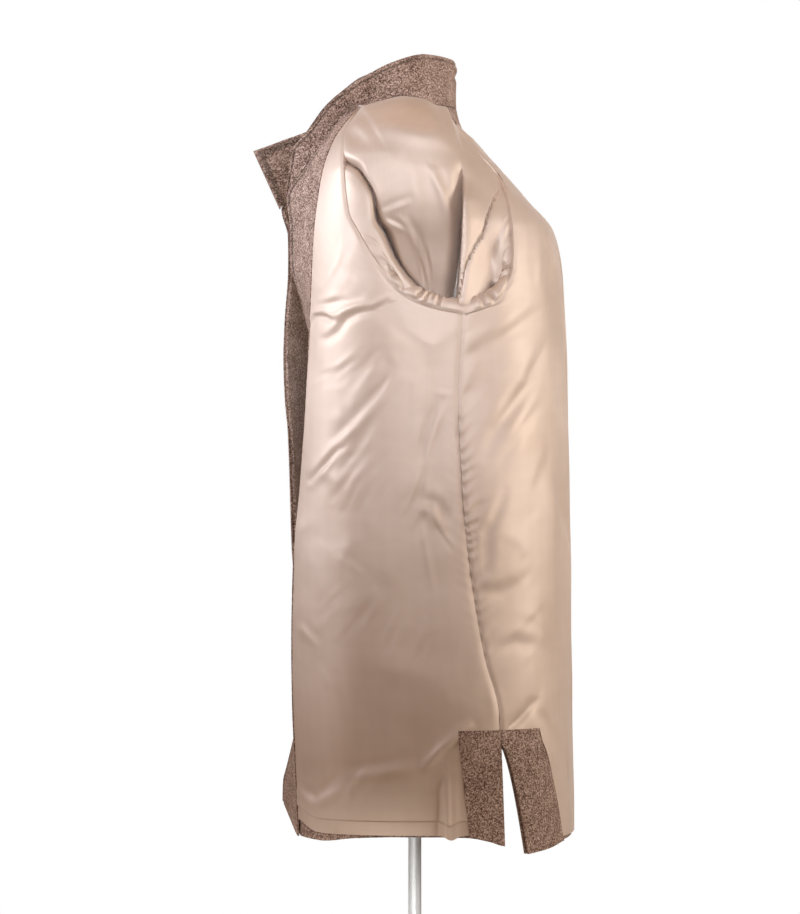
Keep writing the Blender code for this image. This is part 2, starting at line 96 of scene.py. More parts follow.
@dataclass(frozen=True)
class Table:
    """Sizes by height, read by a smooth curve that never overshoots its rows."""

    z: tuple[float, ...]
    columns: dict[str, tuple[float, ...]]

    def at(self, column: str, z: Any) -> np.ndarray:
        """Reads a column.

        Args:
            column: the column's name.
            z: heights, a number or an array.

        Returns:
            The sizes at those heights.
        """
        xs, ys = np.array(self.z), np.array(self.columns[column])
        steps = np.diff(xs)
        slopes = np.diff(ys) / steps
        product = slopes[1:] * slopes[:-1]
        total = np.where(product > 0, slopes[1:] + slopes[:-1], 1.0)
        inner = np.where(product > 0, 2 * product / total, 0.0)
        tangents = np.concatenate([slopes[:1], inner, slopes[-1:]])
        z = np.asarray(z, float)
        i = np.clip(np.searchsorted(xs, z) - 1, 0, len(steps) - 1)
        h = steps[i]
        t = np.clip((z - xs[i]) / h, 0.0, 1.0)
        return ((1 + 2 * t) * (1 - t) ** 2 * ys[i] + t * (1 - t) ** 2 * h * tangents[i]
                + t * t * (3 - 2 * t) * ys[i + 1] + t * t * (t - 1) * h * tangents[i + 1])


def smooth(low: float, high: float, value: np.ndarray) -> np.ndarray:
    """A soft step from 0 at low to 1 at high."""
    t = np.clip((value - low) / (high - low), 0.0, 1.0)
    return t * t * (3 - 2 * t)


def bell(distance: np.ndarray, width: float) -> np.ndarray:
    """A soft bump, 1 on its line and about a third at its width."""
    return np.exp(-(distance / width) ** 2)


def unit(vectors: np.ndarray) -> np.ndarray:
    """Vectors of length one."""
    return vectors / np.maximum(np.linalg.norm(vectors, axis=-1, keepdims=True), 1e-12)


def run_lengths(points: np.ndarray, axis: int) -> np.ndarray:
    """Lengths along a grid of points.

    Args:
        points: the grid.
        axis: 0 to run up its rows and 1 to run across its columns.

    Returns:
        Each point's length from the first row or column.
    """
    steps = np.linalg.norm(np.diff(points, axis=axis), axis=2)
    start = np.zeros_like(points[..., 0].take([0], axis))
    return np.concatenate([start, np.cumsum(steps, axis=axis)], axis=axis)


def stations(marks: list[float], step: float) -> np.ndarray:
    """Evenly spaced values between marks.

    Args:
        marks: values that are kept.
        step: the most that two values lie apart.

    Returns:
        The values.
    """
    parts = [np.linspace(a, b, max(1, math.ceil(abs(b - a) / step)), endpoint=False)
             for a, b in zip(marks, marks[1:])]
    return np.concatenate(parts + [np.array(marks[-1:])])


def merged(*lists: np.ndarray) -> np.ndarray:
    """The values of several lists, in order and each once."""
    return np.unique(np.concatenate(lists).round(6))


def middles(values: np.ndarray) -> np.ndarray:
    """The values halfway between neighbours."""
    return 0.5 * (values[:-1] + values[1:])


def surface_normals(point_at: Any, across: np.ndarray, z: np.ndarray) -> np.ndarray:
    """Directions square to a surface, of any length and on either side.

    Args:
        point_at: the surface, a function of arrays of places across it and heights.
        across: the places across.
        z: the heights.

    Returns:
        The directions.
    """
    da, dz = NORMAL_STEPS
    return np.cross(point_at(across + da, z) - point_at(across - da, z),
                    point_at(across, z + dz) - point_at(across, z - dz))


@dataclass(frozen=True)
class Crease:
    """One crease, laid out in the view that shows it.

    A height above zero is a ridge and below zero a trough. Lean adds the opposite form along
    one side, as where a fold lies over.
    """

    view: View
    path: tuple[tuple[float, float], ...]
    height: float
    width: float
    lean: float = 0.0
    end_share: float = 0.06
    end_power: float = 0.7
    lean_reach: float = 1.7
    facing: tuple[float, float] = (0.05, 0.35)

    def lift(self, points: np.ndarray, normals: np.ndarray) -> np.ndarray:
        """How far the crease moves each point along its normal.

        Args:
            points: the sheet's points.
            normals: their outward normals.

        Returns:
            The moves, in metres.
        """
        axis, outward = self.view.value
        flat = np.stack([points[..., axis], points[..., 2]], axis=-1)
        ends = np.array(self.path)
        lengths = np.linalg.norm(np.diff(ends, axis=0), axis=1)
        starts = np.concatenate([[0.0], np.cumsum(lengths)])
        best = np.full(flat.shape[:-1], np.inf)
        signed, share = np.zeros_like(best), np.zeros_like(best)
        for k, length in enumerate(lengths):
            along = (ends[k + 1] - ends[k]) / length
            offset = flat - ends[k]
            t = np.clip(offset @ along, 0.0, length)
            off = offset - t[..., None] * along
            distance = np.linalg.norm(off, axis=-1)
            turn = along[0] * offset[..., 1] - along[1] * offset[..., 0]
            nearer = distance < best
            best = np.where(nearer, distance, best)
            signed = np.where(nearer, np.sign(turn) * distance, signed)
            share = np.where(nearer, (starts[k] + t) / starts[-1], share)
        along = self.end_share + (1 - 2 * self.end_share) * share
        taper = np.sin(np.pi * np.clip(along, 0.0, 1.0)) ** self.end_power
        facing = smooth(*self.facing, normals @ np.array(outward))
        form = bell(best, self.width)
        if self.lean:
            form = form - self.lean * bell(signed - self.lean_reach * self.width, self.width)
        return self.height * form * taper * facing

    def echoed(self, view: View, shift: tuple[float, float], grow: float) -> "Crease":
        """A like crease on a hidden side.

        Args:
            view: the side.
            shift: how far it is moved.
            grow: how much longer or shorter it is made.

        Returns:
            The crease.
        """
        middle = np.mean(self.path, axis=0)
        path = tuple(tuple(middle + (np.array(p) - middle) * grow + np.array(shift))
                     for p in self.path)
        return Crease(view, path, self.height * grow, self.width, -self.lean)


@dataclass(frozen=True)
class FoldFan:
    """A fan of small drag folds between a first and a last one, uneven by its seed."""

    first: tuple[tuple[float, float], tuple[float, float]]
    last: tuple[tuple[float, float], tuple[float, float]]
    count: int
    height: float
    width: float
    seed: int

    def creases(self, view: View) -> tuple[Crease, ...]:
        """The fan's folds.

        Args:
            view: the side from which they are laid out.

        Returns:
            A crease for each fold.
        """
        rng = np.random.default_rng(self.seed)
        first, last = np.array(self.first), np.array(self.last)
        folds = []
        for k in range(self.count):
            share = (k + rng.uniform(-0.35, 0.35)) / max(1, self.count - 1)
            high, low = first + (last - first) * share
            ends = high + (low - high) * np.array([[rng.uniform(0.0, 0.35)],
                                                   [rng.uniform(0.65, 1.0)]])
            middle = ends.mean(axis=0) + rng.normal(0.0, 0.003, 2)
            path = tuple(tuple(float(c) for c in p) for p in (ends[0], middle, ends[1]))
            grow = rng.uniform(0.5, 1.4)
            folds.append(Crease(view, path, self.height * grow * rng.choice([-1.0, 1.0]),
                                self.width * rng.uniform(0.7, 1.3), rng.uniform(0.3, 0.9)))
        return tuple(folds)


def laid(view: View, rows: tuple[tuple, ...]) -> tuple[Crease, ...]:
    """Creases from a table in millimetres.

    Args:
        view: the side from which they are laid out.
        rows: for each crease its height, its width, its lean as a share, and its path's places,
            each across and up.

    Returns:
        The creases.
    """
    return tuple(Crease(view, tuple((across / 1000, up / 1000) for across, up in path),
                        height / 1000, width / 1000, lean)
                 for height, width, lean, *path in rows)


def fanned(view: View, fans: tuple[FoldFan, ...]) -> tuple[Crease, ...]:
    """All the folds of several fans, laid out in a view."""
    return tuple(crease for fan in fans for crease in fan.creases(view))


@dataclass(frozen=True)
class Unevenness:
    """The slight unevenness of hung cloth: a sum of long soft waves, fixed by its seed."""

    height: float
    longest: float
    shortest: float
    seed: int
    waves: int = 14
    upright: float = 0.55

    def lift(self, points: np.ndarray) -> np.ndarray:
        """How far each point moves along its normal.

        Args:
            points: the sheet's points.

        Returns:
            The moves, in metres.
        """
        rng = np.random.default_rng(self.seed)
        total = np.zeros(points.shape[:-1])
        for _ in range(self.waves):
            direction = unit(rng.normal(size=3) * (1.0, 1.0, self.upright))
            length = rng.uniform(self.shortest, self.longest)
            phase = rng.uniform(0, 2 * math.pi)
            total += np.sin(points @ direction * 2 * math.pi / length + phase)
        return self.height * total / math.sqrt(self.waves)


@dataclass(frozen=True)
class CoatForm:
    """The body surface and the seams on it, with the sizes of the CAD solids."""

    hem: float = 0.553
    lining_hem: float = 0.566
    slit_top: float = 0.665
    slit_facing_top: float = 0.681
    underarm: float = 1.138
    armhole_low: float = 1.165
    neck_facing_low: float = 1.36
    neck: float = 1.385
    hem_drop_back: float = 0.010
    front_hem: Table = Table(
        (0.0, 0.095, 0.19, 0.34, 0.5, 0.67, 0.84, 1.0, 1.5, 2.0),
        {"rise": (0.0, 0.006, 0.010, 0.011, 0.011, 0.009, 0.004, 0.006, 0.022, 0.040)})
    back_hem: Table = Table((0.0, 0.4, 0.79, 0.895, 1.0),
                            {"rise": (0.010, 0.010, 0.009, 0.004, 0.0)})
    neck_dip: Table = Table((-0.11, -0.085, -0.060, -0.038, -0.014, 0.008, 0.026, 0.045, 0.07),
                            {"drop": (0.0, 0.004, 0.010, 0.005, 0.0, 0.002, 0.009, 0.008, 0.0)})
    neck_dip_low: float = 1.325
    axis_y: float = 0.02
    front_slit_share: float = 0.19
    back_slit_share: float = 0.79
    front_flare: float = -0.035
    back_flare: float = -0.135
    squareness: float = 2.6
    body: Table = Table(
        (0.53, 0.62, 0.70, 0.77, 0.87, 0.96, 1.05, 1.138, 1.19, 1.235, 1.272, 1.30, 1.33, 1.36,
         1.385, 1.40),
        {"edge_y": (-0.128, -0.131, -0.135, -0.136, -0.134, -0.126, -0.120, -0.116, -0.114,
                    -0.111, -0.107, -0.102, -0.092, -0.076, -0.064, -0.060),
         "back_y": (0.181, 0.180, 0.177, 0.176, 0.175, 0.173, 0.171, 0.168, 0.166, 0.158, 0.129,
                    0.104, 0.076, 0.052, 0.046, 0.044),
         "half_width": (0.214, 0.214, 0.214, 0.213, 0.211, 0.209, 0.207, 0.206, 0.205, 0.203,
                        0.200, 0.196, 0.186, 0.155, 0.098, 0.084),
         "edge_share": (0.66, 0.66, 0.66, 0.66, 0.66, 0.66, 0.66, 0.66, 0.68, 0.70, 0.71, 0.72,
                        0.74, 0.80, 0.93, 0.95)})
    raglan: dict[Panel, Table] = field(default_factory=lambda: {
        Panel.FRONT: Table(
            (1.138, 1.143, 1.150, 1.165, 1.196, 1.232, 1.25, 1.278, 1.316, 1.34, 1.36, 1.40),
            {"y": (0.052, 0.027, 0.006, -0.018, -0.043, -0.064, -0.073, -0.077, -0.079, -0.078,
                   -0.071, -0.052)}),
        Panel.BACK: Table(
            (1.138, 1.143, 1.150, 1.165, 1.19, 1.21, 1.235, 1.26, 1.282, 1.295, 1.33, 1.385, 1.40),
            {"y": (0.052, 0.070, 0.087, 0.098, 0.107, 0.108, 0.107, 0.104, 0.098, 0.092, 0.062,
                   0.034, 0.030)})})
    side_seam: dict[Side, Table] = field(default_factory=lambda: {
        Side.LEFT: Table(
            (0.53, 0.665, 0.70, 0.756, 0.812, 0.87, 0.95, 1.05, 1.138),
            {"y": (0.0985, 0.0937, 0.092, 0.0773, 0.0663, 0.058, 0.051, 0.047, 0.052)}),
        Side.RIGHT: Table(
            (0.53, 0.665, 0.70, 0.756, 0.812, 0.87, 0.95, 1.05, 1.138),
            {"y": (0.1060, 0.1030, 0.100, 0.0833, 0.0703, 0.060, 0.051, 0.047, 0.052)})})
    slit_opening: dict[Side, dict[Panel, float]] = field(default_factory=lambda: {
        Side.LEFT: {Panel.FRONT: 0.0, Panel.BACK: 0.0255},
        Side.RIGHT: {Panel.FRONT: -0.009, Panel.BACK: 0.035}})
    slit_curve: float = 0.65
    hem_fade: tuple[float, float] = (1.0, 1.3)
    front_edge: dict[Side, Table] = field(default_factory=lambda: {
        Side.LEFT: Table(
            (0.53, 0.555, 0.585, 0.61, 0.66, 0.72, 0.90, 1.08, 1.14, 1.157, 1.20, 1.24, 1.272,
             1.30, 1.33, 1.36, 1.385, 1.40),
            {"x": (0.062, 0.064, 0.068, 0.068, 0.058, 0.040, 0.034, 0.042, 0.066, 0.076, 0.090,
                   0.096, 0.100, 0.106, 0.110, 0.106, 0.092, 0.088),
             "y": (-0.145, -0.1485, -0.1478, -0.1435, -0.135, -0.128, -0.122, -0.110, -0.123,
                   -0.127, -0.139, -0.140, -0.144, -0.126, -0.105, -0.085, -0.070, -0.062)}),
        Side.RIGHT: Table(
            (0.53, 0.585, 0.66, 0.72, 0.80, 0.87, 0.936, 1.01, 1.05, 1.10, 1.14, 1.20, 1.24,
             1.272, 1.30, 1.33, 1.36, 1.385, 1.40),
            {"x": (0.062, 0.064, 0.054, 0.044, 0.040, 0.040, 0.042, 0.046, 0.052, 0.062, 0.072,
                   0.088, 0.096, 0.100, 0.106, 0.110, 0.106, 0.092, 0.088),
             "y": (-0.126, -0.132, -0.130, -0.130, -0.133, -0.1405, -0.143, -0.146, -0.150,
                   -0.152, -0.151, -0.1475, -0.148, -0.156, -0.135, -0.110, -0.087, -0.070,
                   -0.062)})})

    def section(self, z: np.ndarray) -> tuple[np.ndarray, np.ndarray, np.ndarray]:
        """The body's section at each height.

        Args:
            z: the heights.

        Returns:
            Its half width, half depth and middle.
        """
        width, back = self.body.at("half_width", z), self.body.at("back_y", z)
        rise = (1 - self.body.at("edge_share", z) ** self.squareness) ** (1 / self.squareness)
        depth = (back - self.body.at("edge_y", z)) / (1 + rise)
        return width, depth, back - depth

    def point(self, side: Any, angle: np.ndarray, z: np.ndarray) -> np.ndarray:
        """Points of the body surface, at angles from 0 at the centre back to pi at the front.

        Args:
            side: the sign of X, a number or an array.
            angle: the angles.
            z: the heights.

        Returns:
            The points.
        """
        width, depth, middle = self.section(z)
        c, s = np.cos(angle), np.sin(angle)
        n = self.squareness
        reach = (np.abs(c / depth) ** n + np.abs(s / width) ** n) ** (-1 / n)
        return np.stack(np.broadcast_arrays(side * reach * s, middle + reach * c, z), axis=-1)

    def side_x(self, y: np.ndarray, z: np.ndarray) -> np.ndarray:
        """How far out the body surface lies at places seen from the side.

        Args:
            y: the places.
            z: their heights.

        Returns:
            The distances from the middle.
        """
        width, depth, middle = self.section(z)
        share = np.minimum(1.0, np.abs(y - middle) / depth)
        return width * (1 - share ** self.squareness) ** (1 / self.squareness)

    def angle_at(self, y: np.ndarray, z: np.ndarray) -> np.ndarray:
        """The angles on the body surface at which a seam lies, from its depth."""
        return np.arctan2(self.side_x(y, z), y - self.section(z)[2])

    def arched(self, points: np.ndarray) -> np.ndarray:
        """Lowers points near the neck where the raglan seams meet its line.

        Args:
            points: the points.

        Returns:
            The lowered points.
        """
        lowered = points.copy()
        lowered[..., 2] -= (self.neck_dip.at("drop", points[..., 1])
                            * smooth(self.neck_dip_low, self.neck, points[..., 2]))
        return lowered

    def below_slit(self, z: np.ndarray) -> np.ndarray:
        """How far down the slit a height lies: 0 at its top and 1 at the hem."""
        return np.maximum(0.0, self.slit_top - z) / (self.slit_top - self.hem)

    def hem_rise(self, table: Table, share: np.ndarray, z: np.ndarray, top: Any) -> np.ndarray:
        """How far a panel's lower edge is drawn up at shares across it, up to a height."""
        return table.at("rise", share) * np.maximum(0.0, top - z) / (top - self.hem)

    def seam_angle(self, side: Side, z: np.ndarray, panel: Panel) -> np.ndarray:
        """The seam that bounds a front or the back on its outer side.

        Args:
            side: the seam's side.
            z: the heights.
            panel: the panel that it bounds.

        Returns:
            The angles on the body surface at which it lies.
        """
        opening = self.slit_opening[side][panel] * self.below_slit(z) ** self.slit_curve
        low = self.side_seam[side].at("y", z) + opening
        return self.angle_at(np.where(z <= self.underarm, low, self.raglan[panel].at("y", z)), z)

    def flared(self, share: np.ndarray, mark: float, flare: float, z: np.ndarray) -> np.ndarray:
        """Shares across a panel, with the slit facing's edge slanted below its top.

        Args:
            share: the even shares, from 0 to 1.
            mark: the facing's edge.
            flare: how far the edge has moved at the hem.
            z: the heights.

        Returns:
            The slanted shares.
        """
        fall = np.maximum(0.0, self.slit_facing_top - z) / (self.slit_facing_top - self.hem)
        moved = mark + flare * fall
        return np.where(share < mark, share * moved / mark,
                        1 - (1 - share) * (1 - moved) / (1 - mark))

    def front_point(self, side: Side, u: np.ndarray, z: np.ndarray) -> np.ndarray:
        """Points of a front.

        Args:
            side: its side.
            u: places across, from 0 to 1 on its lining and from 1 to 2 on its facing.
            z: the heights.

        Returns:
            The points.
        """
        edge = self.angle_at(self.body.at("edge_y", z), z)
        seam = self.seam_angle(side, z, Panel.FRONT)
        share = self.flared(np.minimum(u, 1.0), self.front_slit_share, self.front_flare, z)
        lining = self.point(side.value, seam + (edge - seam) * share, z)
        table = self.front_edge[side]
        ends = np.stack([side.value * table.at("x", z), table.at("y", z), z], axis=-1)
        points = lining + (ends - lining) * np.maximum(u - 1.0, 0.0)[..., None]
        rise = self.slit_facing_top - self.lining_hem
        fade = self.lining_hem + rise * smooth(*self.hem_fade, u)
        points[..., 2] += self.hem_rise(self.front_hem, u, z, fade)
        return self.arched(points)

    def back_point(self, v: np.ndarray, z: np.ndarray) -> np.ndarray:
        """Points of the back.

        Args:
            v: places across, from -1 at its right seam to 1 at its left seam.
            z: the heights.

        Returns:
            The points.
        """
        seam = np.where(v < 0, self.seam_angle(Side.RIGHT, z, Panel.BACK),
                        self.seam_angle(Side.LEFT, z, Panel.BACK))
        share = self.flared(np.abs(v), self.back_slit_share, self.back_flare, z)
        points = self.point(np.where(v < 0, -1.0, 1.0), seam * share, z)
        points[..., 2] += (self.hem_rise(self.back_hem, np.abs(v), z, self.lining_hem)
                           - self.hem_drop_back * self.below_slit(z))
        return self.arched(points)


COAT = CoatForm()


@dataclass
class Sheet:
    """A grid of points of one piece of cloth, with normals and which cells are cloth."""

    points: np.ndarray
    normals: np.ndarray
    cells: np.ndarray
    closed: bool = False
    stitch: np.ndarray | None = None

    @classmethod
    def of(cls, point_at: Any, across: np.ndarray, heights: np.ndarray) -> "Sheet":
        """Lays a sheet on a surface.

        Args:
            point_at: the surface, a function of arrays of shares and heights.
            across: the shares across the piece.
            heights: the heights of its rows.

        Returns:
            The sheet, with every cell cloth.
        """
        a, z = np.meshgrid(across, heights)
        normals = surface_normals(point_at, a, z)
        points = point_at(a, z)
        outward = (points - np.array([0.0, COAT.axis_y, 0.0])) * (1, 1, 0)
        sign = np.sign(np.sum(normals * outward, axis=-1, keepdims=True))
        cells = np.ones((len(heights) - 1, len(across) - 1), bool)
        return cls(points, unit(normals) * np.where(sign == 0, 1, sign), cells)

    def moved(self, lift: np.ndarray) -> "Sheet":
        """The sheet with each point moved along its normal."""
        return Sheet(self.points + self.normals * lift[..., None], self.normals, self.cells,
                     self.closed, self.stitch)

    def cut_sizes(self) -> tuple[float, float, float]:
        """Measures the flat cut along the cloth.

        Returns:
            Its width, length and area.
        """
        wide = float(run_lengths(self.points, 1)[:, -1].max())
        long = float(run_lengths(self.points, 0)[-1].max())
        p = self.points
        a, b, c, d = p[:-1, :-1], p[:-1, 1:], p[1:, 1:], p[1:, :-1]
        areas = 0.5 * np.linalg.norm(np.cross(c - a, d - b), axis=-1)
        return wide, long, float(areas[self.cells].sum())


def deselect() -> None:
    """Deselects every object."""
    bpy.ops.object.select_all(action="DESELECT")


def coordinates(mesh: bpy.types.Mesh) -> np.ndarray:
    """The places of a mesh's vertices."""
    flat = np.empty(len(mesh.vertices) * 3)
    mesh.vertices.foreach_get("co", flat)
    return flat.reshape(-1, 3)


def deselect_mesh(mesh: bpy.types.Mesh) -> None:
    """Clears the selection of a mesh's vertices, edges and faces."""
    for items in (mesh.vertices, mesh.edges, mesh.polygons):
        items.foreach_set("select", np.zeros(len(items), bool))


def in_edit_mode(piece: bpy.types.Object, *steps: tuple[str, dict]) -> None:
    """Runs mesh operators on a piece in edit mode.

    Args:
        piece: the object.
        steps: operator names of bpy.ops.mesh with their settings.
    """
    bpy.context.view_layer.objects.active = piece
    bpy.ops.object.mode_set(mode="EDIT")
    for name, settings in steps:
        getattr(bpy.ops.mesh, name)(**settings)
    bpy.ops.object.mode_set(mode="OBJECT")


def sewn(name: str, sheet: Sheet, thickness: float, round_edge: float = 0.0) -> bpy.types.Object:
    """Makes a sheet into a closed wall of cloth, with its outer face on the sheet.

    Args:
        name: the piece's name.
        sheet: the points of its outer face.
        thickness: the cloth's thickness.
        round_edge: how far its cut edges are rounded.

    Returns:
        The piece, with UV maps in metres.
    """
    rows, columns = sheet.points.shape[:2]
    deselect()
    bpy.ops.mesh.primitive_grid_add(x_subdivisions=columns - 1, y_subdivisions=rows - 1, size=2.0)
    piece = bpy.context.object
    piece.name = piece.data.name = name
    mesh = piece.data
    flat = coordinates(mesh)
    j = np.rint((flat[:, 0] + 1) / 2 * (columns - 1)).astype(int)
    i = np.rint((flat[:, 1] + 1) / 2 * (rows - 1)).astype(int)
    mesh.vertices.foreach_set("co", sheet.points[i, j].ravel())
    across, up = run_lengths(sheet.points, 1), run_lengths(sheet.points, 0)
    across = across - across[:, columns // 2][:, None]
    corners = np.empty(len(mesh.loops), int)
    mesh.loops.foreach_get("vertex_index", corners)
    uv = np.stack([across[i, j], up[i, j]], axis=-1)[corners]
    mesh.uv_layers[0].data.foreach_set("uv", uv.ravel())
    mesh.uv_layers[0].name = "thread"
    if sheet.stitch is not None:
        marks = mesh.attributes.new("stitch", "FLOAT", "POINT")
        marks.data.foreach_set("value", sheet.stitch[i, j])
    mesh.update()
    normal = np.empty(len(mesh.polygons) * 3)
    mesh.polygons.foreach_get("normal", normal)
    lead = np.argmin(np.abs(i - rows // 2) + np.abs(j - columns // 2))
    touching = [f.index for f in mesh.polygons if lead in f.vertices]
    seen = normal.reshape(-1, 3)[touching].sum(axis=0) @ sheet.normals[i[lead], j[lead]]
    steps: list[tuple[str, dict]] = []
    if not sheet.cells.all():
        first = [min(zip(i[list(f.vertices)], j[list(f.vertices)])) for f in mesh.polygons]
        deselect_mesh(mesh)
        mesh.polygons.foreach_set("select", ~sheet.cells[tuple(np.transpose(first))])
        steps.append(("delete", {"type": "FACE"}))
    steps.append(("select_all", {"action": "SELECT"}))
    if seen < 0:
        steps.append(("flip_normals", {}))
    if sheet.closed:
        steps.append(("remove_doubles", {"threshold": WELD_DISTANCE}))
    in_edit_mode(piece, *steps)
    wall = piece.modifiers.new("thickness", "SOLIDIFY")
    wall.thickness, wall.offset = thickness, -1.0
    bpy.ops.object.modifier_apply(modifier=wall.name)
    if round_edge:
        edge = piece.modifiers.new("rounded_edge", "BEVEL")
        edge.width, edge.segments, edge.angle_limit = round_edge, BEVEL_SEGMENTS, SHARP_ANGLE
        bpy.ops.object.modifier_apply(modifier=edge.name)
    bpy.ops.object.shade_smooth_by_angle(angle=SMOOTH_ANGLE)
    return piece


def linear(code: str) -> tuple[float, float, float, float]:
    """Turns an sRGB hex colour into linear light.

    Args:
        code: the colour, as a hash sign and six digits.

    Returns:
        Red, green, blue and alpha.
    """
    channels = [int(code[k:k + 2], 16) / 255 for k in (1, 3, 5)]
    values = [c / 12.92 if c <= 0.04045 else ((c + 0.055) / 1.055) ** 2.4 for c in channels]
    return (*values, 1.0)


def set_inputs(tree: bpy.types.NodeTree, node: bpy.types.Node, inputs: dict) -> None:
    """Sets or links a node's inputs.

    Args:
        tree: the node's tree.
        node: the node.
        inputs: values or sockets by input name or number.
    """
    for key, value in inputs.items():
        if isinstance(value, bpy.types.NodeSocket):
            tree.links.new(value, node.inputs[key])
        else:
            node.inputs[key].default_value = value


def add_node(tree: bpy.types.NodeTree, kind: str, inputs: dict | None = None,
             ramp: list[tuple[float, str]] | None = None, **settings: Any) -> bpy.types.Node:
    """Adds a node with its settings, and sets or links its inputs.

    Args:
        tree: the material's or world's node tree.
        kind: the node's type name.
        inputs: values or sockets by input name or number.
        ramp: places and hex colours of a colour ramp.
        settings: the node's own settings.

    Returns:
        The node.
    """
    item = tree.nodes.new(kind)
    for key, value in settings.items():
        setattr(item, key, value)
    set_inputs(tree, item, inputs or {})
    if ramp:
        stops = item.color_ramp.elements
        while len(stops) < len(ramp):
            stops.new(0.5)
        for stop, (place, code) in zip(stops, ramp):
            stop.position, stop.color = place, linear(code)
    return item


def new_material(name: str) -> tuple[bpy.types.Material, bpy.types.NodeTree, bpy.types.Node,
                                     bpy.types.NodeSocket]:
    """Makes a material.

    Args:
        name: its name.

    Returns:
        The material, its tree, its Principled shader and a socket with places on the object.
    """
    item = bpy.data.materials.new(name)
    item.use_nodes = True
    tree = item.node_tree
    place = add_node(tree, "ShaderNodeTexCoord").outputs["Object"]
    return item, tree, tree.nodes["Principled BSDF"], place


def wave_scale(pitch_mm: float) -> float:
    """The scale of a wave texture, a sine of 20 times its place, for bands of a real pitch."""
    return 2 * math.pi * 1000 / pitch_mm / 20


@dataclass(frozen=True)
class Satin:
    """Polyester satin lining: a close weave with long floats, so it shines in soft bands along
    its folds, paler where it faces the light and tan where it turns away."""

    name: str = "polyester_satin"
    colour: str = "#D6C3B1"
    shade: str = "#CAB5A1"
    slub_mm: float = 16.34  # soft bars of uneven thread: single threads are too fine to show
    cloud_mm: float = 90.0
    crinkle_mm: float = 55.0
    roughness: float = 0.56

    def material(self) -> bpy.types.Material:
        """Builds the material."""
        item, tree, shader, place = new_material(self.name)
        uv = add_node(tree, "ShaderNodeUVMap", uv_map="thread").outputs[0]
        cloud = add_node(tree, "ShaderNodeTexNoise", {
            "Vector": place, "Scale": 1000 / self.cloud_mm, "Detail": 2.0})
        tone = add_node(tree, "ShaderNodeValToRGB", {0: cloud.outputs[0]},
                        ramp=[(0.32, self.shade), (0.68, self.colour)])
        weft, warp = (add_node(tree, "ShaderNodeTexWave", {
            "Vector": uv, "Scale": wave_scale(self.slub_mm), "Distortion": 1.2,
            "Detail": 2.0, "Detail Scale": 6.0}, bands_direction=way).outputs[1] for way in "YX")
        weave = add_node(tree, "ShaderNodeMath", {0: weft, 1: warp}, operation="ADD")
        thread = add_node(tree, "ShaderNodeMapRange", {
            0: weave.outputs[0], 1: 0.0, 2: 2.0, 3: 0.985, 4: 1.01})
        colour = add_node(tree, "ShaderNodeMix", {0: 1.0, 6: tone.outputs[0],
                                                  7: thread.outputs[0]},
                          data_type="RGBA", blend_type="MULTIPLY")
        gloss = add_node(tree, "ShaderNodeMapRange", {
            0: cloud.outputs[0], 1: 0.3, 2: 0.7, 3: self.roughness - 0.04,
            4: self.roughness + 0.05})
        crinkle = add_node(tree, "ShaderNodeTexNoise", {
            "Vector": place, "Scale": 1000 / self.crinkle_mm, "Detail": 3.0, "Roughness": 0.6,
            "Distortion": 0.6}, noise_type="RIDGED_MULTIFRACTAL")
        creased = add_node(tree, "ShaderNodeBump", {
            "Height": crinkle.outputs[0], "Strength": 0.6, "Distance": 0.0040})
        bump = add_node(tree, "ShaderNodeBump", {
            "Height": weave.outputs[0], "Strength": 0.03, "Distance": 0.0003,
            "Normal": creased.outputs[0]})
        set_inputs(tree, shader, {
            "Base Color": colour.outputs[2], "Roughness": gloss.outputs[0],
            "Normal": bump.outputs[0], "Metallic": 0.40, "Specular IOR Level": 0.5,
            "Anisotropic": 0.3, "Sheen Weight": 0.1, "Sheen Roughness": 0.4})
        return item


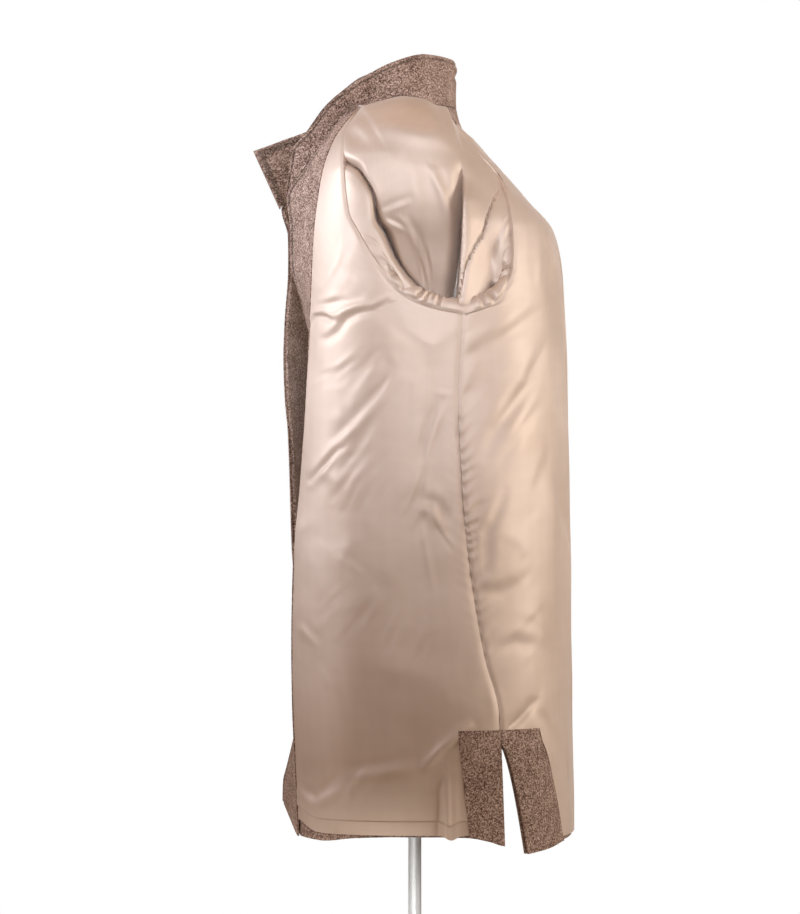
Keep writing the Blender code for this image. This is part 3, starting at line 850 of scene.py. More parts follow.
@dataclass(frozen=True)
class WoolCloth:
    """Fulled wool coating in mixed browns: fibres of several shades felted together, so it is
    matt and speckled, with a soft pale nap where it turns away."""

    name: str = "fulled_wool"
    dark: str = "#4C392F"
    middle: str = "#8E7465"
    pale: str = "#D4BCAA"
    nap: str = "#D9C4B4"
    fleck_mm: float = 1.6
    grain_mm: float = 1.5
    cloud_mm: float = 22.0

    def material(self) -> bpy.types.Material:
        """Builds the material."""
        item, tree, shader, place = new_material(self.name)
        fibre = add_node(tree, "ShaderNodeTexNoise", {
            "Vector": place, "Scale": 1000 / self.fleck_mm, "Detail": 4.0, "Roughness": 0.72})
        grain = add_node(tree, "ShaderNodeTexVoronoi", {
            "Vector": place, "Scale": 1000 / self.grain_mm})
        cloud = add_node(tree, "ShaderNodeTexNoise", {
            "Vector": place, "Scale": 1000 / self.cloud_mm, "Detail": 3.0})
        base = add_node(tree, "ShaderNodeMath", {
            0: cloud.outputs[0], 1: 0.18, 2: fibre.outputs[0]}, operation="MULTIPLY_ADD")
        mixed = add_node(tree, "ShaderNodeMath", {
            0: grain.outputs["Color"], 1: 0.30, 2: base.outputs[0]}, operation="MULTIPLY_ADD")
        heather = add_node(tree, "ShaderNodeValToRGB", {0: mixed.outputs[0]},
                           ramp=[(0.58, self.dark), (0.73, self.middle), (0.91, self.pale)])
        # Along the topstitch line the colour is halved: painted shade of the stitch groove, laid
        # over the groove cut in the geometry.
        stitch = add_node(tree, "ShaderNodeAttribute", attribute_name="stitch")
        thread = add_node(tree, "ShaderNodeMapRange", {0: stitch.outputs["Fac"], 3: 1.0, 4: 0.5})
        tone = add_node(tree, "ShaderNodeMix", {0: 1.0, 6: heather.outputs[0],
                                                7: thread.outputs[0]},
                        data_type="RGBA", blend_type="MULTIPLY")
        bump = add_node(tree, "ShaderNodeBump", {
            "Height": fibre.outputs[0], "Strength": 0.55, "Distance": 0.0012})
        set_inputs(tree, shader, {
            "Base Color": tone.outputs[2], "Normal": bump.outputs[0], "Roughness": 0.95,
            "Specular IOR Level": 0.15, "Sheen Weight": 0.35, "Sheen Roughness": 0.6,
            "Sheen Tint": linear(self.nap)})
        return item


@dataclass(frozen=True)
class CottonJersey:
    """Cotton jersey drawn over the form: matt off-white with soft level ribs, darker in their
    grooves by painted shade.
    """

    name: str = "cotton_jersey"
    colour: str = "#E6E0D4"
    # the colour of the ribs' grooves: painted shade
    groove: str = "#D4CCBE"
    rib_mm: float = 12.57

    def material(self) -> bpy.types.Material:
        """Builds the material."""
        item, tree, shader, place = new_material(self.name)
        rib = add_node(tree, "ShaderNodeTexWave", {
            "Vector": place, "Scale": wave_scale(self.rib_mm), "Distortion": 0.8, "Detail": 2.0},
            bands_direction="Z")
        # The grooves of the ribs take the darker colour: painted shade, following the bump's wave.
        tone = add_node(tree, "ShaderNodeValToRGB", {0: rib.outputs[1]},
                        ramp=[(0.0, self.groove), (1.0, self.colour)])
        bump = add_node(tree, "ShaderNodeBump", {
            "Height": rib.outputs[1], "Strength": 0.2, "Distance": 0.0004})
        set_inputs(tree, shader, {"Base Color": tone.outputs[0], "Normal": bump.outputs[0],
                                  "Roughness": 0.9, "Sheen Weight": 0.2})
        return item


@dataclass(frozen=True)
class BrushedSteel:
    """Brushed stainless steel: grey, with fine turning lines that draw out its highlights."""

    name: str = "brushed_steel"
    colour: str = "#C2C4C4"
    worn: str = "#A9ACAC"
    line_mm: float = 1.2
    roughness: float = 0.58

    def material(self) -> bpy.types.Material:
        """Builds the material."""
        item, tree, shader, place = new_material(self.name)
        drawn = add_node(tree, "ShaderNodeMapping", {"Vector": place, "Scale": (1.0, 1.0, 0.03)})
        line = add_node(tree, "ShaderNodeTexNoise", {
            "Vector": drawn.outputs[0], "Scale": 1000 / self.line_mm, "Detail": 3.0})
        tone = add_node(tree, "ShaderNodeValToRGB", {0: line.outputs[0]},
                        ramp=[(0.3, self.worn), (0.7, self.colour)])
        gloss = add_node(tree, "ShaderNodeMapRange", {
            0: line.outputs[0], 1: 0.2, 2: 0.8, 3: self.roughness - 0.06,
            4: self.roughness + 0.08})
        set_inputs(tree, shader, {"Base Color": tone.outputs[0],
                                  "Roughness": gloss.outputs[0], "Metallic": 0.4})
        return item


def dressed(piece: bpy.types.Object, material: bpy.types.Material, node: str) -> None:
    """Gives a piece its material, parents it to the body and hides the CAD node that it stands for.

    Args:
        piece: the object.
        material: its material.
        node: the CAD node.
    """
    piece.data.materials.clear()
    piece.data.materials.append(material)
    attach(piece, BODY_NAME)
    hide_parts(node)
    LOG.info("%s: %d faces", piece.name, len(piece.data.polygons))


def declared(piece: bpy.types.Object, sheet: Sheet) -> None:
    """States a piece's flat cut.

    Args:
        piece: the object.
        sheet: its outer face, along which the cut is measured.
    """
    wide, long, area = sheet.cut_sizes()
    wide = min(wide, area / (LEAST_FILL * long))
    LOG.info("%s: cut %.3f x %.3f m, %.4f square metres", piece.name, wide, long, area)


@dataclass(frozen=True)
class Wardrobe:
    """The coat's materials, made once, and the sewing of its pieces."""

    cloths: dict[Cloth, bpy.types.Material]
    jersey: bpy.types.Material
    steel: bpy.types.Material

    def sew(self, cloth: Cloth, node: str, sheet: Sheet, thickness: float, under: str,
            round_edge: float = 0.0) -> None:
        """Makes a piece of cloth, dresses it and states its flat cut.

        Args:
            cloth: what it is cut from.
            node: the CAD node that it stands for.
            sheet: its outer face.
            thickness: the cloth's thickness.
            under: the CAD node that it hangs on; not used.
            round_edge: how far its cut edges are rounded.
        """
        word, slot = cloth.value
        piece = sewn(f"{word}_{node}", sheet, thickness, round_edge)
        dressed(piece, self.cloths[cloth], node)
        declared(piece, sheet)


@dataclass(frozen=True)
class Thickness:
    """The cloths' thicknesses and where their outer faces lie above the body surface."""

    wool: float = 0.0030
    lining: float = 0.0010
    facing: float = 0.0020
    seam_gap: float = 0.0003
    stitch_in: float = 0.006
    stitch_wide: float = 0.0015
    stitch_deep: float = 0.0014

    @property
    def lining_top(self) -> float:
        """Where a lining's outer face lies."""
        return self.seam_gap + self.lining

    @property
    def facing_top(self) -> float:
        """Where a facing's outer face lies."""
        return self.seam_gap + self.facing


CLOTH = Thickness()

# Each row: height and width in millimetres, lean, then the path's places across and up.
LEFT_FRONT_CREASES = laid(View.LEFT, (
    (-2, 3, 0.5, (-116, 1128), (-109, 1137), (-99, 1136), (-92, 1132), (-85, 1132.5)),
    (1, 6, 0.3, (-92, 1133), (-78, 1143), (-58, 1148)),
    (-1.9, 4.6, 0.5, (-102.5, 1111), (-96, 1111.5), (-85, 1119), (-76, 1133), (-64, 1139),
     (-45, 1142), (-31, 1149)),
    (-0.8, 4, 0.3, (-105, 1149), (-81, 1154)),
    (-0.8, 2.5, 0.3, (-107, 1140), (-95, 1142)),
    (-1.8, 5.8, 0.4, (-30, 1082), (-39, 1058), (-51, 1043), (-72, 1020), (-87, 1003)),
    (-1, 6.6, 0.4, (-45, 1095), (-61, 1069), (-76, 1048)),
    (1.2, 4.8, 0.2, (-39, 1045), (-64, 1015), (-92, 988), (-115, 964.5)),
    (-1.8, 2.6, 0.6, (-79, 991), (-84, 990), (-99, 972), (-115, 954)),
    (-1.1, 5.6, 0.4, (-45, 1023), (-58, 1001), (-76, 974)),
    (-0.8, 7.5, 0.5, (-2, 1033), (-11, 1010), (-21, 986.5)),
    (-1.7, 4.6, 0.6, (27, 1042), (16, 1023), (10, 997), (5.5, 981)),
    (-1, 4.2, 0.5, (31, 1014), (16, 981)),
    (0.8, 10.4, 0.5, (5, 970), (-8, 950), (-17, 934)),
    (0.8, 7.8, 0.5, (-73, 967), (-89, 941)),
    (0.8, 7.8, 0.5, (-52, 960), (-71, 934)),
    (2.7, 6.5, 0.6, (6, 925), (17, 921), (28, 905)),
    (0.7, 3.6, 0.3, (6, 914), (12, 875), (19, 836)),
    (-0.8, 2, 0.5, (17, 919.5), (23, 904), (40, 879)),
    (0.6, 3.9, 0.5, (-82, 870), (-57, 851)),
    (0.6, 2.9, 0.6, (18, 1102), (12, 940)),
    (0.6, 2.9, 0.5, (20, 1052), (47, 1049)),
    (0.8, 4.4, 0.6, (-127, 792), (-108, 772)),
    (0.7, 4.4, 0.6, (-102, 745), (-82, 714)),
    (1.4, 16.9, 0.4, (-40, 756), (-6, 745), (28, 729)),
    (5.2, 4.8, 0.3, (58, 686), (44, 676), (28, 662), (10, 642)),
    (2, 6.5, 0.6, (-75, 627), (-45, 633), (-6, 640)),
    (1.9, 6.5, 0.6, (-116, 593), (-98, 603), (-76, 617)),
    (1.4, 4.6, 0.6, (-127, 609), (-113, 597)),
    (0.7, 3.9, 0.5, (-71, 622), (-73, 600)),
    (-1.4, 3, 0, (25, 622), (27.5, 598), (25.5, 580), (26, 530)),
    (4.6, 4.8, -0.4, (34, 632), (34.5, 590), (34, 530)),
)) + fanned(View.LEFT, (
    FoldFan(((-0.048, 1.115), (-0.116, 1.074)), ((0.035, 1.06), (0.024, 0.967)), 14, 0.0004,
            0.0032, 4),
    FoldFan(((-0.06, 1.01), (-0.122, 0.94)), ((0.04, 0.95), (0.03, 0.88)), 13, 0.0005, 0.0032, 9),
    FoldFan(((-0.08, 1.24), (-0.108, 1.17)), ((-0.02, 1.15), (-0.06, 1.12)), 6, 0.0002, 0.0036, 21),
    FoldFan(((-0.06, 0.86), (-0.12, 0.8)), ((0.05, 0.8), (0.03, 0.7)), 10, 0.0005, 0.0032, 15),
    FoldFan(((-0.1, 0.64), (-0.124, 0.6)), ((0.03, 0.64), (0.0, 0.6)), 7, 0.0006, 0.0034, 31),
))
LEFT_BACK_CREASES = laid(View.LEFT, (
    (-2.4, 9, 0.4, (60, 1090), (104, 1116), (138, 1144)),
    (-3, 7.8, 0.4, (77, 983), (89, 1010), (106, 1032), (129, 1066), (146, 1110)),
    (-2, 5, -0.5, (52, 1034), (69, 1056), (90, 1080), (114, 1096)),
    (-1.4, 3, 0.3, (54, 1046), (61, 1057)),
    (-2.2, 5, 0.5, (77, 898), (86, 914), (99, 943)),
    (-1.5, 5.8, 0.3, (78, 902), (78.5, 850)),
    (-1.4, 4, 0.4, (62, 921), (75, 932)),
    (-1.3, 3.2, 0.4, (60, 904), (69, 910)),
    (-1.4, 5.6, 0.4, (133, 941), (144.5, 978)),
    (-2, 8.5, 0.4, (70, 832), (96, 832), (116, 845)),
    (-1.6, 8, 0.5, (90, 768), (110, 776), (132, 772)),
    (-3, 3.6, -0.3, (100, 681), (113, 690), (124, 702), (134, 714)),
    (1, 6, 0.6, (124, 700), (140, 668), (150, 640)),
    (1.4, 7.8, 0.6, (154, 1120), (152, 960), (156, 800)),
)) + laid(View.BACK, (
    (4, 13, 0.6, (-60, 1180), (-55, 900), (-64, 640)),
    (3.6, 11.7, -0.6, (70, 1170), (66, 920), (76, 660)),
    (3.6, 7.8, 0.8, (6, 1300), (4, 960), (2, 620)),
    (-3.2, 13, 0.4, (-120, 1120), (-80, 1070), (-30, 1040)),
    (-3.2, 13, 0.4, (130, 960), (90, 910), (40, 880)),
)) + fanned(View.LEFT, (
    FoldFan(((0.1, 1.13), (0.056, 1.08)), ((0.15, 1.06), (0.07, 0.94)), 8, 0.0007, 0.005, 5),
    FoldFan(((0.14, 0.96), (0.064, 0.88)), ((0.156, 0.8), (0.086, 0.73)), 7, 0.0006, 0.005, 8),
    FoldFan(((0.112, 1.25), (0.112, 1.17)), ((0.156, 1.23), (0.15, 1.13)), 5, 0.0006, 0.0045, 12),
))


@dataclass
class BodyPanels:
    """The two fronts and the back: wool shell, satin lining and wool facings."""

    wardrobe: Wardrobe
    near_step: float = 0.0030
    far_step: float = 0.0055
    back_step: float = 0.0040
    shell_step: float = 0.0080
    underarm_step: float = 0.001
    front_width: float = 0.24
    back_half: float = 0.29
    fine_edge: float = 0.16
    edge_roll: float = 0.0014
    edge_roll_reach: float = 0.003
    shell_sink: float = 0.0014
    seam_dip: float = 0.0013
    seam_reach: float = 0.0035
    pucker_height: dict[Panel, float] = field(default_factory=lambda: {
        Panel.FRONT: 0.0006, Panel.BACK: 0.0034})
    pucker_length: float = 0.013
    pucker_reach: float = 0.007
    pucker_span: tuple[float, float, float, float] = (0.72, 0.84, 1.01, 1.05)
    pucker_band: float = 0.06
    pucker_slant: float = 0.7
    pucker_drift: float = 1.8
    pucker_dip: float = 0.3
    pucker_least: float = 0.15
    pucker_start: float = 0.002
    drift_rates: tuple[float, float] = (37.0, 81.0)
    edge_share: float = 0.0006
    echo_shift: tuple[float, float] = (0.008, -0.021)
    echo_grow: float = 0.9
    seeds: dict[Side, int] = field(default_factory=lambda: {Side.LEFT: 3, Side.RIGHT: 5})
    back_seed: int = 11
    unevenness: tuple[float, float, float] = (0.0006, 0.16, 0.05)
    corner_rise: float = 0.012
    corner_start: float = 0.80
    corner_reach: float = 0.09
    hem_step: float = 0.0010
    hem_band: float = 0.026
    tuck_up: float = 0.0155
    tuck_height: float = 0.0016
    tuck_reach: float = 0.018
    tuck_edge: float = 0.0008
    loop_share: float = 0.262
    loop_drop: float = 0.005
    loop_band: float = 0.13
    loop_width: float = 0.028

    def build(self) -> None:
        """Builds and dresses every panel."""
        for side in Side:
            self.front(side)
        self.back()

    def rows(self, low: float, high: float, step: float) -> np.ndarray:
        """Heights of a panel's rows, closer together under the arm.

        Args:
            low: the lowest.
            high: the highest.
            step: the most that two rows lie apart.

        Returns:
            The heights.
        """
        marks = [z for z in (COAT.lining_hem, COAT.slit_facing_top, COAT.underarm)
                 if low < z < high]
        fine = stations([COAT.underarm, COAT.armhole_low], self.underarm_step)
        return merged(stations([low, *marks, high], step), fine[(fine > low) & (fine < high)])

    def echoes(self, creases: tuple[Crease, ...]) -> tuple[Crease, ...]:
        """The right side's creases, like the left side's."""
        return tuple(c.echoed(View.RIGHT, self.echo_shift, self.echo_grow)
                     for c in creases if c.view is View.LEFT)

    def seam_puckers(self, sheet: Sheet, panel: Panel, distance: np.ndarray,
                     seed: int) -> np.ndarray:
        """The dip along a sewn seam and the small puckers beside it.

        Args:
            sheet: the panel's sheet.
            panel: which panel it is.
            distance: each point's distance from the seam.
            seed: fixes where the puckers lie.

        Returns:
            The moves along the normals.
        """
        z = sheet.points[..., 2]
        drift = sum(np.sin(z * rate + k * seed) for k, rate in enumerate(self.drift_rates, 1))
        turns = (z - self.pucker_slant * distance) / self.pucker_length
        wave = np.sin(2 * math.pi * turns + self.pucker_drift * drift)
        low, full, fading, high = self.pucker_span
        shown = smooth(low, full, z) * smooth(high, fading, z)
        strength = self.pucker_least + (1 - self.pucker_least) * shown
        puckers = self.pucker_height[panel] * strength * np.maximum(wave, -self.pucker_dip)
        return (puckers * np.exp(-distance / self.pucker_reach)
                * smooth(0.0, self.pucker_start, distance)
                - self.seam_dip * bell(distance, self.seam_reach))

    def lining_lift(self, sheet: Sheet, panel: Panel, creases: tuple[Crease, ...],
                    seed: int) -> np.ndarray:
        """All moves of a lining: creases, seam puckers and unevenness.

        Args:
            sheet: the panel's sheet.
            panel: which panel it is.
            creases: its creases.
            seed: fixes its puckers and its unevenness.

        Returns:
            The moves along the normals.
        """
        seam = run_lengths(sheet.points, 1)
        if panel is Panel.BACK:
            seam = np.minimum(seam, seam[:, -1:] - seam)
        lift = self.seam_puckers(sheet, panel, seam, seed)
        for crease in creases:
            lift = lift + crease.lift(sheet.points, sheet.normals)
        return lift + Unevenness(*self.unevenness, seed).lift(sheet.points)

    def shell(self, node: str, sheet: Sheet, panel: Panel, creases: tuple[Crease, ...],
              seed: int) -> None:
        """A wool panel, which gives way under the troughs of its lining.

        Args:
            node: its CAD node.
            sheet: the body surface.
            panel: which panel it is.
            creases: its lining's creases.
            seed: its lining's seed.
        """
        under = self.lining_lift(sheet, panel, creases, seed)
        self.wardrobe.sew(Cloth.WOOL, node,
                          sheet.moved(np.minimum(under, 0.0) - self.shell_sink), CLOTH.wool,
                          "form")

    def strip(self, node: str, sheet: Sheet, under: str) -> None:
        """A plain wool facing."""
        flat = np.full(sheet.points.shape[:2], CLOTH.facing_top)
        self.wardrobe.sew(Cloth.WOOL, node, sheet.moved(flat), CLOTH.facing, under)

    def front(self, side: Side) -> None:
        """One front with its lining, its front facing and its slit's facing.

        Args:
            side: its side.
        """
        near = side is Side.LEFT
        step, seed = self.near_step if near else self.far_step, self.seeds[side]
        creases = LEFT_FRONT_CREASES if near else self.echoes(LEFT_FRONT_CREASES)
        under = f"front_{side.word}"
        share_step, slit = step / self.front_width, COAT.front_slit_share

        def surface(u: np.ndarray, z: np.ndarray) -> np.ndarray:
            """The front's surface."""
            return COAT.front_point(side, u, z)

        def rounded(u: np.ndarray, z: np.ndarray) -> np.ndarray:
            """The front's surface, with the lining's lower front corner drawn up."""
            points = surface(u, z)
            fade = 1 - smooth(COAT.lining_hem, COAT.lining_hem + self.corner_reach, z)
            points[..., 2] += fade * (self.corner_rise * smooth(self.corner_start, 1.0, u) ** 2
                                      - self.loop_drop * bell(u - self.loop_share,
                                                              self.loop_width))
            return points

        loop_end = slit + self.loop_band
        across = np.concatenate([stations([self.edge_share, slit], share_step)[:-1],
                                 stations([slit, loop_end], share_step * 0.5)[:-1],
                                 stations([loop_end, 1 - self.edge_share], share_step)])
        hem_rows = stations([COAT.lining_hem, COAT.lining_hem + self.hem_band], self.hem_step)
        lining = Sheet.of(rounded, across,
                          merged(self.rows(COAT.lining_hem, COAT.neck, step), hem_rows))
        lining.cells &= ~np.outer(middles(lining.points[:, 0, 2]) < COAT.slit_facing_top,
                                  middles(across) < slit)
        lift = self.lining_lift(lining, Panel.FRONT, creases, seed) + self.hem_tuck(lining)
        self.wardrobe.sew(Cloth.SATIN, f"lining_{under}", lining.moved(lift + CLOTH.lining_top),
                          CLOTH.lining, under)
        self.shell(under, Sheet.of(
            surface, stations([self.edge_share, slit, 1.0, 2.0],
                              self.shell_step / self.front_width),
            self.rows(COAT.hem, COAT.neck, self.shell_step)), Panel.FRONT, creases, seed)
        edge = 2.0 - self.fine_edge
        facing = Sheet.of(surface, np.concatenate([
            stations([1 + self.edge_share, edge], share_step * 4)[:-1],
            stations([edge, 2.0], share_step)]), self.rows(COAT.hem, COAT.neck, step * 1.3))
        along = run_lengths(facing.points, 1)
        inset = along[:, -1:] - along
        facing.stitch = bell(inset - CLOTH.stitch_in, CLOTH.stitch_wide)
        rolled = np.maximum(0.0, 1 - inset / self.edge_roll_reach) ** 2
        lift = CLOTH.facing_top - CLOTH.stitch_deep * facing.stitch - self.edge_roll * rolled
        self.wardrobe.sew(Cloth.WOOL, f"front_facing_{side.word}", facing.moved(lift),
                          CLOTH.facing, under)
        self.strip(f"slit_facing_{under}", Sheet.of(
            surface, stations([self.edge_share, slit - self.edge_share], share_step),
            self.rows(COAT.hem, COAT.slit_facing_top, step)), under)

    def hem_tuck(self, sheet: Sheet) -> np.ndarray:
        """The lining's ease above its hem, which hangs over the hem band in a soft fold.

        Args:
            sheet: the lining's sheet.

        Returns:
            The moves along the normals.
        """
        above = sheet.points[..., 2] - sheet.points[:1, :, 2] - self.tuck_up
        return (self.tuck_height * smooth(-self.tuck_edge, self.tuck_edge, above)
                * np.exp(-np.maximum(above, 0.0) / self.tuck_reach))

    def back(self) -> None:
        """The back with its lining, the neck's facing and both slits' facings."""
        share_step, slit = self.back_step / self.back_half, COAT.back_slit_share
        edge, fine = 1 - self.edge_share, 1 - self.pucker_band
        across = np.concatenate([stations([-edge, -slit, 0.0], share_step * 2)[:-1],
                                 stations([0.0, slit, fine], share_step)[:-1],
                                 stations([fine, edge], share_step * 0.4)])
        rows = self.rows(COAT.lining_hem, COAT.neck_facing_low, self.near_step)
        lining = Sheet.of(COAT.back_point, across, rows)
        lining.cells &= ~np.outer(middles(rows) < COAT.slit_facing_top,
                                  np.abs(middles(across)) > slit)
        creases = LEFT_BACK_CREASES + self.echoes(LEFT_BACK_CREASES)
        lift = self.lining_lift(lining, Panel.BACK, creases, self.back_seed)
        self.wardrobe.sew(Cloth.SATIN, "lining_back", lining.moved(lift + CLOTH.lining_top),
                          CLOTH.lining, "back")
        self.shell("back", Sheet.of(
            COAT.back_point, stations([-edge, -slit, slit, edge],
                                      self.shell_step / self.back_half),
            self.rows(COAT.hem, COAT.neck, self.shell_step)), Panel.BACK, creases, self.back_seed)
        slit_rows, cut = (COAT.hem, COAT.slit_facing_top), slit + self.edge_share
        strips = {"back_neck_facing": ((-edge, edge), (COAT.neck_facing_low, COAT.neck)),
                  "slit_facing_back_right": ((-edge, -cut), slit_rows),
                  "slit_facing_back_left": ((cut, edge), slit_rows)}
        for node, (span, heights) in strips.items():
            self.strip(node, Sheet.of(COAT.back_point, stations(list(span), share_step),
                                      self.rows(*heights, self.back_step)), "back")


LEFT_SLEEVE_CREASES = laid(View.LEFT, (
    (1.2, 2.8, 0.9, (-36, 1250), (-22, 1256), (-6, 1262)),
    (1.2, 2.6, 0.9, (-34, 1241), (-24, 1237), (-12, 1231)),
    (1.4, 4, 0.9, (-12, 1240), (-2, 1222), (6, 1195)),
    (1.6, 8, 0.4, (-4, 1300), (2, 1262), (4, 1232)),
    (2.2, 5, 0.7, (18, 1295), (30, 1270), (36, 1240)),
    (-3, 3, 0.5, (2, 1208), (8, 1185), (12, 1165)),
    (-2, 3, 0.5, (10, 1210), (14, 1190), (16, 1170)),
    (4, 11, 0, (-60, 1340), (-20, 1340), (20, 1331), (46, 1318)),
))


@dataclass(frozen=True)
class Dent:
    """A soft hollow in the sleeve's head, seen from the side, that may slant."""

    depth: float
    place: tuple[float, float]
    half: tuple[float, float]
    slant: float = 0.0

    def at(self, y: np.ndarray, z: np.ndarray) -> np.ndarray:
        """Its depths at places seen from the side."""
        off = y - self.place[0] - self.slant * (z - self.place[1])
        return self.depth * bell(off, self.half[0]) * bell(z - self.place[1], self.half[1])


@dataclass
class Sleeves:
    """Both raglan sleeves, pushed inside the body, with their satin linings."""

    wardrobe: Wardrobe
    seam_step: float = 0.0035
    neck_counts: dict[Side, int] = field(default_factory=lambda: {Side.LEFT: 64, Side.RIGHT: 26})
    turn_counts: dict[Side, int] = field(default_factory=lambda: {Side.LEFT: 100,
                                                                  Side.RIGHT: 44})
    tube_step: float = 0.012
    tube_rows: tuple[float, float] = (1.115, 0.80)
    tube_centre: tuple[float, float] = (0.1765, 0.044)
    tube_half: tuple[float, float] = (0.0100, 0.048)
    gather_height: float = 0.0052
    gather_length: float = 0.030
    gather_reach: tuple[float, float] = (0.004, 0.026)
    gather_drift: tuple[tuple[float, float, float], ...] = ((2.2, 41.0, 0.0), (1.6, 97.0, 1.0))
    gather_floor: float = 0.35
    gather_swell: tuple[float, float, float] = (0.25, 63.0, 2.0)
    gather_fade: float = 0.6
    head: Table = Table(
        (1.130, 1.151, 1.163, 1.191, 1.211, 1.228, 1.246, 1.269, 1.290, 1.300, 1.308, 1.345), {
            "gap": (0.060, 0.030, 0.0094, -0.0148, -0.0247, -0.0310, -0.0410, -0.0445, -0.0550,
                    -0.0620, -0.0740, -0.1300),
            "gap_depth": (0.0, 0.012, 0.022, 0.040, 0.055, 0.055, 0.042, 0.022, 0.018, 0.015, 0.008,
                          0.0),
            "gap_half": (0.002, 0.002, 0.002, 0.0024, 0.0030, 0.0034, 0.0030, 0.0022, 0.0026,
                         0.0034, 0.004, 0.004),
            "tongue": (0.042, 0.040, 0.038, 0.031, 0.026, 0.021, 0.015, 0.009, 0.005, 0.003, 0.002,
                       -0.002),
            "rim": (0.0, 0.0, 0.0, 0.0, 0.001, 0.003, 0.006, 0.007, 0.007, 0.006, 0.004, 0.0),
            "fold": (0.028, 0.034, 0.036, 0.036, 0.036, 0.035, 0.033, 0.026, 0.012, 0.004, 0.001,
                     0.0),
            "ridge": (0.0463, 0.0463, 0.0475, 0.0500, 0.0515, 0.0523, 0.0530, 0.0534, 0.0530,
                      0.0515, 0.0490, 0.0400),
            "back_seam": (0.0478, 0.0478, 0.0510, 0.0560, 0.0640, 0.0745, 0.0800, 0.0880, 0.0960,
                          0.1000, 0.1030, 0.1100)})
    band_depth: float = 0.001
    band_reach: float = 0.006
    rim_share: float = 0.7
    rim_reach: float = 0.008
    fold_half: float = 0.0085
    fold_edge: float = 0.0010
    ridge_depth: float = 0.002
    slope_depth: float = 0.008
    slope_span: tuple[float, float] = (0.002, 0.024)
    seam_rise: float = 0.004
    seam_deep: float = 0.004
    seam_edge: float = 0.001
    seam_half: float = 0.0014
    seam_pucker: float = 0.011
    back_span: tuple[float, float] = (1.290, 1.262)
    dents: tuple[Dent, ...] = (Dent(0.012, (0.084, 1.190), (0.013, 0.030)),
                               Dent(0.020, (0.0863, 1.1656), (0.0040, 0.0050)),
                               Dent(0.004, (0.0866, 1.212), (0.004, 0.018), 0.3))
    pocket_edge: float = 0.004
    gap_blur: float = 0.55
    gap_shift: float = 0.001
    seen_seam: tuple[float, float] = (1.168, 1.195)
    seen_low: tuple[float, float] = (1.120, 1.150)
    seen_high: tuple[float, float] = (1.345, 1.315)
    far_shift: float = 0.004
    echo_shift: tuple[float, float] = (0.006, -0.006)
    echo_grow: float = 0.95
    low_span: tuple[float, float] = (1.195, 1.240)
    back_gathers: tuple[float, float, float, float] = (0.35, 1.24, 1.30, 0.06)
    crease_start: float = 0.02
    underarm_step: float = 0.0012
    wool_sink: float = 0.0015
    wool_every: int = 2
    ways: dict[Panel, Table] = field(default_factory=lambda: {
        Panel.FRONT: Table((1.138, 1.165, 1.205, 1.272, 1.33, 1.385), {
            "lead_x": (0.002, 0.002, -0.006, -0.020, 0.012, 0.125),
            "lead_y": (0.0, 0.004, 0.012, 0.022, 0.012, 0.0),
            "lead_z": (0.022, 0.018, 0.008, -0.004, -0.008, 0.0),
            "drop": (0.045, 0.050, 0.065, 0.090, 0.120, 0.150),
            "out": (-0.003, -0.003, -0.002, -0.004, 0.012, 0.030),
            "turn": (-90.0, -40.0, 0.0, 22.0, 40.0, 55.0)}),
        Panel.BACK: Table((1.138, 1.165, 1.205, 1.272, 1.33, 1.385), {
            "lead_x": (0.002, 0.001, -0.010, 0.004, 0.045, 0.125),
            "lead_y": (0.0, -0.008, -0.016, -0.018, -0.010, 0.0),
            "lead_z": (0.022, 0.014, 0.002, -0.006, -0.006, 0.0),
            "drop": (0.045, 0.050, 0.065, 0.090, 0.120, 0.150),
            "out": (-0.003, -0.006, -0.006, 0.004, 0.016, 0.030),
            "turn": (-90.0, -140.0, -185.0, -205.0, -220.0, -235.0)})})

    def build(self) -> None:
        """Builds and dresses both sleeves."""
        for side in Side:
            self.sleeve(side)

    def armhole(self, side: Side) -> tuple[np.ndarray, np.ndarray, np.ndarray]:
        """The armhole seam: down the front, up the back and along the neck.

        Args:
            side: the sleeve's side.

        Returns:
            Angles, heights, and how far each point follows the front's way into the sleeve.
        """
        close = np.concatenate([stations([COAT.underarm, COAT.armhole_low],
                                         self.underarm_step)[:-1],
                                stations([COAT.armhole_low, COAT.neck], self.seam_step)])
        front, back = close[::-1], close[1:]
        front_angle = COAT.seam_angle(side, front, Panel.FRONT)
        back_angle = COAT.seam_angle(side, back, Panel.BACK)
        front_angle[-1] = COAT.seam_angle(side, np.array([COAT.underarm]), Panel.FRONT)[0]
        share = np.linspace(0, 1, self.neck_counts[side] + 1)[1:]
        neck_angle = back_angle[-1] + (front_angle[0] - back_angle[-1]) * share
        return (np.concatenate([front_angle, back_angle, neck_angle]),
                np.concatenate([front, back, np.full_like(share, COAT.neck)]),
                np.concatenate([np.ones_like(front), np.zeros_like(back), share]))

    def tube_point(self, side: Side, turn: np.ndarray, z: Any) -> np.ndarray:
        """Points of the flat tube inside the body.

        Args:
            side: the sleeve's side.
            turn: angles around the tube, in degrees.
            z: heights.

        Returns:
            The points.
        """
        angle = np.radians(turn)
        x = self.tube_centre[0] - self.tube_half[0] * np.sin(angle)
        y = self.tube_centre[1] - self.tube_half[1] * np.cos(angle)
        return np.stack(np.broadcast_arrays(side.value * x, y, z), axis=-1)

